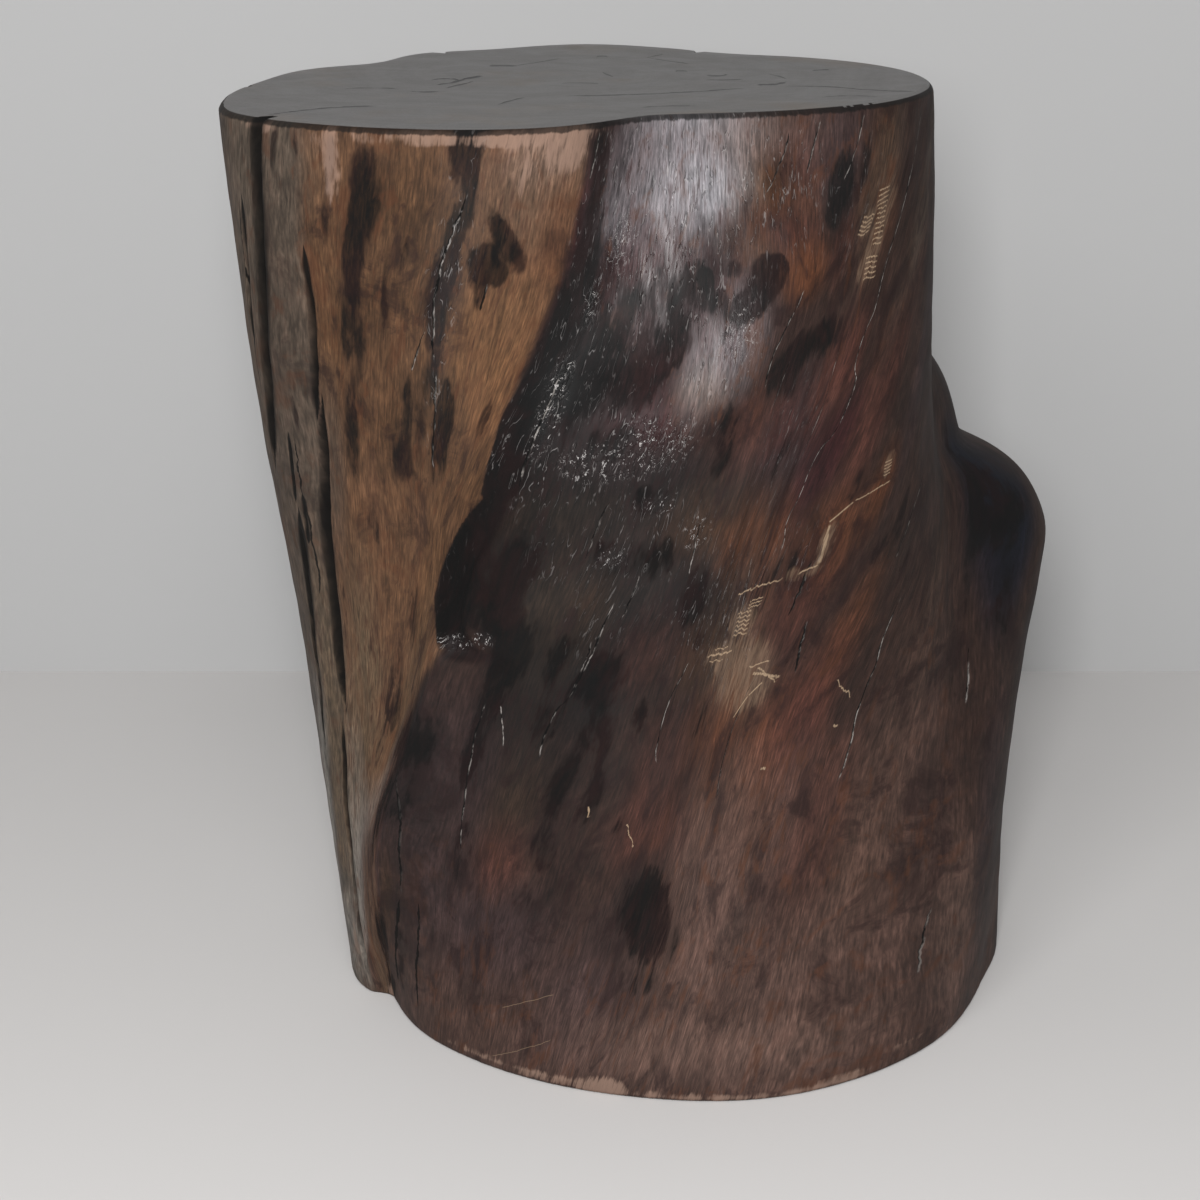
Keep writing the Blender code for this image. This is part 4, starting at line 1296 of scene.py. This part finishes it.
# %% Stains, worn rim and pores
def break_up(mask, raggedness, softness):
    """Draws the edge of a soft mask out along the fibres."""
    return board.use(
        broken_edge, Mask=mask, Fine=fibre["Fine"], Fleck=fibre["Fleck"], Broad=fibre["Broad"],
        Raggedness=raggedness, Softness=softness)["Mask"]


stained = break_up(stain_mask, 0.20, 0.24)
stain_tone = board.mix(board.ramp(cloud, -0.8, 0.8), tone("black"), tone("charcoal"))
stain_cover = board.ramp(fibre["Fleck"], -1.4, 1.6, 0.98, 0.76)
wood = board.mix(board.times(stained, stain_cover), wood, stain_tone)
rubbed = break_up(worn_mask, 0.18, 0.24)
wood = board.mix(board.times(rubbed, 0.66), wood, tone("pink worn"))
wood = board.mix(board.times(fibre["Pore"], 0.22), wood, tone("black"))
print(len(side.node_tree.nodes), "nodes with stains, worn rim and pores")

# %% Fine cracks that follow the grain
# Each: places down the picture, width in millimetres, how far it wavers, how much polish fills it.
# The pale beads of polish are partly painted glints on the crack's edges
crack_places = (
    (((925, 99), (914, 156), (900, 216), (889, 252), (875, 306), (861, 341), (855, 380),
      (846, 409), (829, 439), (811, 465), (799, 497), (788, 518), (782, 547), (773, 571)),
     0.8, 0.4, 0.9),
    (((864, 113), (857, 145), (843, 181)), 0.6, 0.4, 0.6),
    (((843, 335), (832, 375), (817, 421), (788, 474)), 0.6, 0.4, 0.7),
    (((924, 470), (917, 497), (902, 538), (893, 562)), 0.6, 0.4, 0.6),
    (((904, 592), (887, 629), (876, 664), (858, 711), (846, 758), (835, 785)), 0.9, 0.5, 0.9),
    (((690, 660), (685, 670), (664, 717), (659, 765)), 0.8, 0.7, 0.8),
    (((766, 670), (741, 706), (726, 750), (716, 805)), 0.8, 0.6, 0.3),
    (((614, 600), (591, 654), (574, 689), (546, 732), (541, 760)), 0.9, 0.7, 0.8),
    (((486, 700), (474, 743), (466, 788), (463, 858)), 0.8, 0.5, 0.6),
    (((500, 705), (502, 725), (502, 748)), 0.8, 0.4, 0.9),
    (((968, 645), (967, 680), (964, 705)), 0.5, 0.3, 0.8),
    (((560, 375), (546, 410), (530, 450), (518, 490)), 0.8, 0.6, 0.8),
    (((600, 128), (596, 150), (589, 180)), 0.7, 0.4, 0.5),
    (((470, 190), (455, 227), (444, 255), (436, 291), (433, 330), (434, 365)), 1.3, 0.8, 0.8),
    (((434, 372), (436, 400), (433, 440), (434, 470)), 1.2, 0.8, 0.6),
    (((425, 330), (418, 350), (411, 372)), 0.6, 0.5, 0.5),
    (((487, 283), (483, 298), (480, 312)), 0.9, 0.6, 0.3),
    (((805, 288), (795, 310), (782, 335), (770, 365), (764, 390)), 0.8, 0.7, 0.6),
    (((790, 360), (780, 385), (770, 410)), 0.6, 0.6, 0.4),
    (((790, 130), (779, 165), (764, 195)), 0.8, 0.8, 0.4),
    (((820, 120), (812, 150), (806, 175)), 0.6, 0.6, 0.5),
    (((812, 560), (800, 590), (788, 618)), 1.2, 0.9, 0.3),
    (((808, 620), (800, 650), (795, 675)), 1.0, 0.9, 0.4),
    (((738, 560), (728, 600), (714, 640)), 0.8, 0.9, 0.2),
    (((610, 500), (596, 530), (585, 560)), 0.6, 0.8, 0.3),
    (((401, 740), (398, 800), (402, 860), (403, 895)), 0.7, 0.4, 0.1),
    (((403, 895), (400, 940), (400, 985)), 1.1, 0.3, 0.0),
    (((421, 900), (418, 950), (418, 1010)), 0.6, 0.4, 0.0),
    (((752, 555), (745, 590), (737, 625), (731, 655)), 0.8, 0.9, 0.7),
    (((702, 520), (694, 548), (688, 575)), 0.7, 0.9, 0.8),
    (((640, 575), (630, 600), (618, 622)), 0.6, 0.9, 0.6),
    (((590, 640), (580, 672), (570, 690)), 0.6, 0.9, 0.8),
    (((930, 905), (922, 940), (916, 975)), 0.5, 0.8, 0.4),
    (((238, 190), (243, 250), (249, 300), (257, 360), (264, 410)), 0.9, 0.5, 0.0),
    (((292, 430), (300, 480), (312, 540), (320, 600)), 0.6, 0.6, 0.0),
)
millimetres = 1000.0
millimetres_per_line = 2.5
curve_margin = 0.02


def crack_across(path):
    """Nodes for how many millimetres a place lies across a crack, and what share along it."""
    line, share = board.curve(grain["Height"], *path, curve_margin)
    gap = board.sum("SUBTRACT", grain["Line"], line)
    return board.times(gap, millimetres_per_line), share


crack_dark, crack_bead = 0.0, 0.0
habit = board.use(crack_habit, Place=grain["Grain"])
for marks, width, wavering, filling in crack_places:
    across, share = crack_across(path_of(marks))
    crack = board.use(
        crack_group, Across=across, Share=share, Width=width, Wavering=wavering, Filling=filling,
        Waver=habit["Waver"], Swell=habit["Swell"], Beads=habit["Beads"])
    crack_dark = board.sum("MAXIMUM", crack_dark, crack["Dark"])
    crack_bead = board.sum("MAXIMUM", crack_bead, crack["Bead"])
# The walls of the drying checks are dark over their whole width: painted shade in the grooves
dark_past_seat = 0.04
for (heights, lines), (_, width, _, _, fade_high, dark_share) in zip(check_paths, seen_checks):
    if fade_high < opens_at_once:
        heights = np.append(heights, heights[-1] + dark_past_seat)
        lines = np.append(lines, lines[-1])
    across, share = crack_across((heights, lines))
    check = board.use(
        crack_group, Across=across, Share=share, Width=width * millimetres * dark_share,
        Wavering=0.25, Filling=0.0)
    crack_dark = board.sum("MAXIMUM", crack_dark, check["Dark"])
crack_depth_tone = tone("black") * 0.25
bead_tone = (0.36, 0.33, 0.305)
wood = board.mix(board.times(crack_dark, 0.95), wood, crack_depth_tone)
# The pale beads are polish in the cracks, and partly painted glints on their edges
wood = board.mix(board.times(crack_bead, 0.75), wood, bead_tone)
print(len(crack_places), "fine cracks")

# %% Galleries that insects ate, and scratches
# Each stroke: two places in the picture, and its width in millimetres
gallery_strokes = (
    (890, 480, 855, 501, 0.6), (855, 501, 829, 523, 0.8), (831, 524, 820, 564, 1.5),
    (820, 564, 798, 575, 0.8), (782, 580, 738, 594, 0.8), (707, 657, 732, 650, 0.8),
    (752, 674, 782, 675, 1.3), (763, 682, 748, 696, 0.7), (748, 696, 734, 717, 0.6),
    (757, 668, 778, 680, 0.8), (771, 660, 748, 668, 0.7), (838, 678, 850, 698, 0.5),
    (831, 727, 837, 726, 1.2), (760, 769, 766, 768, 1.2), (589, 806, 589, 817, 0.8),
    (626, 824, 634, 847, 0.6),
)
# Each ladder of rungs: top of its right rail, foot of it, run of one rung, number of rungs, width
gallery_ladders = (
    (890, 183, 881, 243, -11, 6, 12, 0.75), (876, 212, 868, 234, -12, 4, 5, 0.8),
    (878, 252, 874, 278, -12, 4, 5, 0.7), (893, 456, 889, 474, -7, 4, 5, 0.55),
    (753, 608, 748, 634, -15, 3, 6, 0.75), (730, 643, 722, 662, -14, 4, 3, 0.6),
    (764, 596, 760, 606, -14, 4, 3, 0.5),
)
scratch_strokes = ((501, 1008, 555, 994, 0.30), (491, 1056, 551, 1040, 0.30))
flat_place = board.add("ShaderNodeCombineXYZ")
flat_ways = (
    ("X", grain["Line"], millimetres_per_line, 0.45, 0.16),
    ("Y", grain["Height"], millimetres, 0.50, 0.18))
for socket, value, scale, broad_share, fleck_share in flat_ways:
    sway = board.times(fibre["Fleck"], fleck_share)
    sway = board.times_plus(fibre["Broad"], broad_share, sway)
    board.feed(flat_place.inputs[socket], board.times_plus(value, scale, sway))


def flat_on_log(x, y):
    line, height = on_log(x, y)
    return np.array((line * millimetres_per_line, height * millimetres))


def stroke_mask(x, y, to_x, to_y, width):
    start = flat_on_log(x, y)
    along = flat_on_log(to_x, to_y) - start
    run = along / along.dot(along)
    side_way = np.array((-along[1], along[0])) / np.hypot(*along)
    return board.use(
        stroke_group, Place=flat_place.outputs[0], Run=(*run, 0.0), Run_start=-run.dot(start),
        Side=(*side_way, 0.0), Side_start=-side_way.dot(start), Width=width)["Mask"]


def ladder_mask(top_x, top_y, foot_x, foot_y, run_x, run_y, count, width):
    top = flat_on_log(top_x, top_y)
    rail = flat_on_log(foot_x, foot_y) - top
    rung = flat_on_log(top_x + run_x, top_y + run_y) - top
    run, side_way = np.linalg.inv(np.column_stack([rail, rung]))
    return board.use(
        ladder_group, Place=flat_place.outputs[0], Run=(*run, 0.0), Run_start=-run.dot(top),
        Side=(*side_way, 0.0), Side_start=-side_way.dot(top), Width=width,
        Spacing=np.hypot(*rail) / count, Rungs=count)["Mask"]


def strongest_of(masks):
    strongest = 0.0
    for mask in masks:
        strongest = board.sum("MAXIMUM", strongest, mask)
    return strongest


eaten = break_up(eaten_mask, 0.22, 0.30)
eaten_cover = board.ramp(fibre["Fleck"], -1.2, 1.2, 0.15, 0.60)
wood = board.mix(board.times(eaten, eaten_cover), wood, tone("eaten"))
gallery = strongest_of([stroke_mask(*stroke) for stroke in gallery_strokes])
ladders = strongest_of([ladder_mask(*ladder) for ladder in gallery_ladders])
gallery = board.sum("MAXIMUM", gallery, ladders)
gallery_cover = board.ramp(fibre["Fine"], -1.6, 0.6, 0.45, 0.95)
wood = board.mix(board.times(gallery, gallery_cover), wood, tone("gallery"))
scratch = strongest_of([stroke_mask(*stroke) for stroke in scratch_strokes])
wood = board.mix(board.times(scratch, 0.4), wood, tone("gallery"))
print(len(gallery_strokes), "strokes and", len(gallery_ladders), "ladders")

# %% Dark line at the rim
rim_line_depth = 0.0040
rim_line_rise = 0.0030
rim_noise = board.noise(board.stretch(grain["Grain"], (1.0, 1.0, 0.3)), 260.0, 3.0, 0.6)
rim_level = board.times_plus(rim_noise, rim_line_rise, seat_height - rim_line_depth)
rim_line = board.ramp(board.sum("SUBTRACT", grain["Height"], rim_level), -0.0004, 0.0006)
wood = board.mix(board.times(rim_line, 0.8), wood, tone("black"))
print("the dark line is about", round((rim_line_depth - rim_line_rise / 2) * 1000, 1), "mm tall")

# %% Finish
# How rough the varnish is in general, and what each kind of place adds to that
least_rough, most_rough = 0.72, 0.82
pooled_adds, polished_adds, stained_adds, rubbed_adds, crack_adds = -0.12, -0.44, 0.22, 0.22, 0.3
gloss_noise = board.noise(grain["Grain"], 34.0, 3.0, 0.6)
gloss = board.ramp(gloss_noise, 0.3, 0.7, least_rough, most_rough)
gloss = board.times_plus(pooled_mask, pooled_adds, gloss)
polished = board.times(rough_mask, board.ramp(grain["Height"], 0.29, 0.36))
gloss = board.times_plus(polished, polished_adds, gloss)
dull_stain = board.times(stained, board.sum("SUBTRACT", 1.0, pooled_mask))
gloss = board.times_plus(dull_stain, stained_adds, gloss)
gloss = board.times_plus(rubbed, rubbed_adds, board.times_plus(crack_dark, crack_adds, gloss))
board.feed(side_shader.inputs["Roughness"], gloss)
print("roughness", least_rough, "to", most_rough, "and", -polished_adds, "less where polished")
side_shader.inputs["Specular IOR Level"].default_value = 0.32

# %% Bump
# Thin curved tears, left where the plane lifted the grain, come only in places
tear_place = board.stretch(grain["Grain"], (1.0, 1.0, 0.20))
tear_noise = board.noise(tear_place, 300.0, 2.0, 0.55, 0.5)
tear_line = board.near(tear_noise, 0.5, 0.004, 0.030)
tear_spot_place = board.stretch(grain["Grain"], (1.0, 1.0, 0.5), (0.5, 0.2, 0.9))
tear_spots = board.ramp(board.noise(tear_spot_place, 300.0, 2.0, 0.6), 0.48, 0.60)
tears = board.times(board.times(tear_line, tear_spots), rough_mask)
blister_noise = board.noise(board.stretch(grain["Grain"], (1.0, 1.0, 0.5)), 520.0, 2.0, 0.6, 0.8)
blisters = board.times(board.ramp(blister_noise, 0.38, 0.62), pooled_mask)
wave_noise = board.noise(board.stretch(grain["Grain"], (1.0, 1.0, 0.45)), 110.0, 2.0, 0.5, 0.5)
wave_height = board.times(wave_noise, board.times_plus(rough_mask, 0.00030, 0.00012))
relief_height = board.times_plus(tears, -0.00026, wave_height)
relief_height = board.times_plus(blisters, 0.00050, relief_height)
relief_height = board.times_plus(fibre["Fine"], 0.000006, relief_height)
relief_height = board.times_plus(fibre["Fleck"], 0.000014, relief_height)
bump = board.add("ShaderNodeBump")
bump.inputs["Distance"].default_value = 1.0
bump.inputs["Strength"].default_value = 0.8
board.feed(bump.inputs["Height"], relief_height)
board.feed(side_shader.inputs["Normal"], bump.outputs["Normal"])
wood = board.mix(board.times(tears, 0.45), wood, tone("black"))
# Where varnish pooled it dried in blisters. Their edges and some lips of the tears get painted
# glints: light of the lamp painted into the colour
blister_edge = board.near(blister_noise, 0.46, 0.004, 0.026)
blister_spots = board.ramp(board.noise(grain["Grain"], 420.0, 2.0, 0.6), 0.49, 0.60)
blister_glint = board.times(board.times(blister_edge, blister_spots), board.ramp(pooled_mask, 0.1, 0.6))
lip_line = board.near(tear_noise, 0.535, 0.003, 0.018)
tear_glint = board.times(board.times(lip_line, tear_spots), board.times(rough_mask, 0.35))
wood = board.mix(board.sum("MAXIMUM", blister_glint, tear_glint), wood, tone("glint"))
board.feed(side_shader.inputs["Base Color"], wood)
print(len(side.node_tree.nodes), "nodes in the varnished side")

# %% [markdown]
# ## The sawn seat and foot
#
# The two ends show end grain: growth rings, which here are nearly lost, rays that run out from the
# pith, short slits where the wood opened while it dried, and the fine marks of sanding. The seat
# was wiped with the same varnish, but end grain drinks it, so it is greyer and duller than the
# sides. Its light grey is partly a painted reflection of the pale room on the level seat.

# %% Sawn ends
seat = bpy.data.materials.new("sawn end")
seat.use_nodes = True
board = Board(seat.node_tree)
seat_shader = seat.node_tree.nodes["Principled BSDF"]
seat_place = board.add("ShaderNodeTexCoord").outputs["Object"]
pith_place = (-0.075, 0.035, 0.0)
from_pith = board.add("ShaderNodeVectorMath", operation="SUBTRACT")
board.feed(from_pith.inputs[0], seat_place)
from_pith.inputs[1].default_value = pith_place
warp = board.noise(seat_place, 9.0, 3.0, 0.55)
flat = board.stretch(from_pith.outputs[0], (1.0, 1.0, 0.0))
distance = board.add("ShaderNodeVectorMath", operation="LENGTH")
board.feed(distance.inputs[0], flat)
ring_phase = board.times_plus(warp, 0.055, distance.outputs["Value"])
rings = board.sum("SINE", board.times(ring_phase, 900.0))
wide_rings = board.sum("SINE", board.times(ring_phase, 210.0))
mottle = board.noise(seat_place, 38.0, 5.0, 0.65, 0.6)
speckle = board.noise(seat_place, 900.0, 2.0, 0.6)
sanding = board.noise(board.stretch(seat_place, (0.06, 1.0, 1.0)), 520.0, 2.0, 0.6)
seat_gain = board.ramp(mottle, 0.3, 0.7, 0.80, 1.16)
seat_gain = board.times(seat_gain, board.times_plus(rings, 0.035, 1.0))
seat_gain = board.times(seat_gain, board.times_plus(wide_rings, 0.05, 1.0))
seat_gain = board.times(seat_gain, board.ramp(speckle, 0.3, 0.7, 0.86, 1.14))
seat_gain = board.times(seat_gain, board.ramp(sanding, 0.3, 0.7, 0.92, 1.08))
lit = board.add("ShaderNodeVectorMath", operation="SCALE")
# The seat tone is partly painted reflection: lighter and greyer for the pale room that the level
# seat reflects
lit.inputs[0].default_value = tuple(tone("seat"))
board.feed(lit.inputs["Scale"], seat_gain)
end_grain = lit.outputs[0]
tan_noise = board.noise(seat_place, 16.0, 3.0, 0.6)
end_grain = board.mix(board.ramp(tan_noise, 0.52, 0.72, 0.0, 0.30), end_grain, tone("olive tan"))
print("the pith lies", pith_place[:2], "m from the middle")

# %% Slits in the seat
# Each: places across the picture of the seat, width in millimetres, how far it wavers
seat_slits = (
    (((560, 96), (623, 95), (690, 92), (720, 90), (750, 88)), 1.6, 0.5),
    (((783, 86), (830, 87), (869, 90), (922, 92)), 1.3, 0.5),
    (((756, 85), (777, 84), (787, 81)), 2.6, 0.6),
    (((768, 74), (777, 76), (787, 79)), 2.2, 0.5),
    (((648, 58), (668, 61), (690, 64)), 1.6, 0.5),
    (((646, 58), (655, 56), (664, 54)), 1.4, 0.5),
    (((675, 72), (681, 71), (688, 72)), 3.0, 0.6),
    (((706, 75), (716, 76), (728, 74)), 2.6, 0.8),
    (((706, 80), (724, 80), (744, 79)), 1.2, 0.6),
    (((596, 58), (602, 56), (608, 57)), 2.6, 0.8),
    (((602, 72), (608, 75), (614, 77)), 1.8, 0.6),
    (((812, 71), (820, 70), (830, 70)), 2.0, 0.8),
    (((488, 66), (504, 66), (518, 66)), 3.4, 0.7),
    (((514, 66), (540, 62), (562, 58)), 1.2, 0.8),
    (((436, 85), (450, 83), (466, 79), (484, 76)), 3.4, 1.6),
    (((430, 81), (445, 79), (460, 80)), 2.6, 1.6),
    (((446, 88), (460, 85), (474, 81)), 2.2, 1.6),
    (((410, 91), (425, 92), (440, 91)), 1.4, 1.0),
    (((497, 105), (510, 101), (526, 97)), 1.8, 0.8),
    (((262, 116), (290, 112), (330, 108), (380, 106)), 1.6, 0.8),
    (((560, 84), (580, 83), (600, 84)), 0.9, 0.8),
    (((340, 90), (370, 88), (400, 90)), 0.9, 0.8),
    (((640, 108), (670, 106), (700, 106)), 0.9, 0.6),
    (((820, 98), (850, 96), (880, 97)), 1.0, 0.6),
)


def on_seat(x, y):
    """The place on the level seat at one place of the picture."""
    sight = Vector((x - picture_pixels / 2, picture_pixels / 2 - y, -focal_pixels))
    sight.rotate(camera_turn)
    return camera_place + sight * ((seat_height - camera_place.z) / sight.z)


seat_parts = board.add("ShaderNodeSeparateXYZ")
board.feed(seat_parts.inputs[0], seat_place)
slit_margin = 0.0005
slit_spread = 2.2
slit_dark = 0.0
habit = board.use(crack_habit, Place=seat_place)
for marks, width, wavering in seat_slits:
    xs, ys = zip(*[on_seat(*mark)[:2] for mark in marks])
    line, share = board.curve(seat_parts.outputs["X"], xs, ys, slit_margin)
    gap = board.times(board.sum("SUBTRACT", seat_parts.outputs["Y"], line), millimetres)
    slit = board.use(
        crack_group, Across=gap, Share=share, Width=width * slit_spread, Wavering=wavering,
        Filling=0.0, Waver=habit["Waver"], Swell=habit["Swell"], Beads=habit["Beads"])
    slit_dark = board.sum("MAXIMUM", slit_dark, slit["Dark"])
ray_turn = board.add("ShaderNodeVectorMath", operation="NORMALIZE")
board.feed(ray_turn.inputs[0], flat)
rays = board.noise(ray_turn.outputs[0], 22.0, 4.0, 0.7)
ray_dark = board.times(board.ramp(rays, 0.60, 0.72), board.ramp(mottle, 0.45, 0.60))
end_grain = board.mix(board.times(ray_dark, 0.35), end_grain, tone("charcoal"))
end_grain = board.mix(board.times(slit_dark, 0.95), end_grain, tone("black") * 0.5)
print(len(seat_slits), "slits in the seat")

# %% Finish of the sawn ends
board.feed(seat_shader.inputs["Base Color"], end_grain)
board.feed(seat_shader.inputs["Roughness"], board.ramp(mottle, 0.3, 0.7, 0.42, 0.56))
seat_shader.inputs["Specular IOR Level"].default_value = 0.5
seat_relief = board.times(slit_dark, -0.0008)
seat_relief = board.times_plus(speckle, 0.00008, seat_relief)
seat_relief = board.times_plus(sanding, 0.00006, seat_relief)
seat_bump = board.add("ShaderNodeBump")
seat_bump.inputs["Distance"].default_value = 1.0
seat_bump.inputs["Strength"].default_value = 0.7
board.feed(seat_bump.inputs["Height"], seat_relief)
board.feed(seat_shader.inputs["Normal"], seat_bump.outputs["Normal"])
print(len(seat.node_tree.nodes), "nodes in the sawn end")

# %% Which faces get which finish
log.data.materials.append(side)
log.data.materials.append(seat)
level_enough = 0.9
face_middles = np.zeros(len(log.data.polygons) * 3)
log.data.polygons.foreach_get("center", face_middles)
sawn = np.array([abs(face.normal.z) > level_enough for face in log.data.polygons])
middle_z = face_middles.reshape(-1, 3)[:, 2]
sawn &= (middle_z > seat_height - rim_round / 2) | (middle_z < foot_round / 2)
log.data.polygons.foreach_set("material_index", sawn.astype(np.int32))
log.data.update()
print(int(sawn.sum()), "faces are sawn ends")

# %% [markdown]
# ## Floor, backdrop and light
#
# The log stands on a plain pale floor in front of a plain grey backdrop. One upright soft box close
# to the camera gives the broad sheen on the varnish. A wide fill from above and an even light from
# the room bring the wood to about the colours that its material holds.

# %% Floor and backdrop
stage_size = 8.0
backdrop_distance = 0.43
floor_tone = (0.66, 0.645, 0.635)
backdrop_tone = (0.50, 0.50, 0.50)
bpy.ops.object.select_all(action="DESELECT")
bpy.ops.mesh.primitive_plane_add(
    size=stage_size, location=(0, backdrop_distance - stage_size / 2, 0))
floor = bpy.context.object
floor.name = "floor"
bpy.ops.mesh.primitive_plane_add(
    size=stage_size, location=(0, backdrop_distance, stage_size / 2), rotation=(quarter, 0, 0))
backdrop = bpy.context.object
backdrop.name = "backdrop"
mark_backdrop(floor, backdrop)
for stage_part, stage_tone in ((floor, floor_tone), (backdrop, backdrop_tone)):
    paint = bpy.data.materials.new(stage_part.name)
    paint.use_nodes = True
    paint_shader = paint.node_tree.nodes["Principled BSDF"]
    paint_shader.inputs["Base Color"].default_value = (*stage_tone, 1)
    paint_shader.inputs["Roughness"].default_value = 0.9
    paint_shader.inputs["Specular IOR Level"].default_value = 0.2
    # Seen from its back, either plane is clear, so that the log can be looked at from behind it
    board = Board(paint.node_tree)
    clear = board.add("ShaderNodeBsdfTransparent")
    facing = board.add("ShaderNodeMixShader")
    board.feed(facing.inputs["Fac"], board.add("ShaderNodeNewGeometry").outputs["Backfacing"])
    board.feed(facing.inputs[1], paint_shader.outputs[0])
    board.feed(facing.inputs[2], clear.outputs[0])
    board.feed(paint.node_tree.nodes["Material Output"].inputs["Surface"], facing.outputs[0])
    stage_part.data.materials.append(paint)
print("the floor and the backdrop are", stage_size, "m wide")

# %% Light
# Each lamp: name, place, where it points, width, height, power. The fill gives no reflections
lamps = (
    ("soft box", (-0.08, -1.34, 0.76), (0.0, 0.0, 0.24), 0.20, 0.34, 14.5),
    ("fill", (-0.38, -1.85, 1.80), (0.0, 0.0, 0.24), 1.60, 1.20, 28.0),
)
room_strength = 0.25
room = bpy.data.worlds.new("room")
room.use_nodes = True
room.node_tree.nodes["Background"].inputs["Color"].default_value = (1, 1, 1, 1)
room.node_tree.nodes["Background"].inputs["Strength"].default_value = room_strength
bpy.context.scene.world = room
for name, place, aim, width, height, power in lamps:
    lamp_data = bpy.data.lights.new(name, "AREA")
    lamp_data.shape = "RECTANGLE"
    lamp_data.size, lamp_data.size_y = width, height
    lamp_data.energy = power
    lamp = bpy.data.objects.new(name, lamp_data)
    lamp.location = place
    lamp.rotation_euler = (Vector(aim) - Vector(place)).to_track_quat("-Z", "Y").to_euler()
    lamp.visible_glossy = name != "fill"
    bpy.context.collection.objects.link(lamp)
print([lamp[0] for lamp in lamps], "in a room of", room_strength)

# %% Sizes
dressed_low, dressed_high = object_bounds()
growth = (*(dressed_low - cad_low), *(dressed_high - cad_high))
print("grown by", [round(value * 1000, 2) for value in growth], "mm")
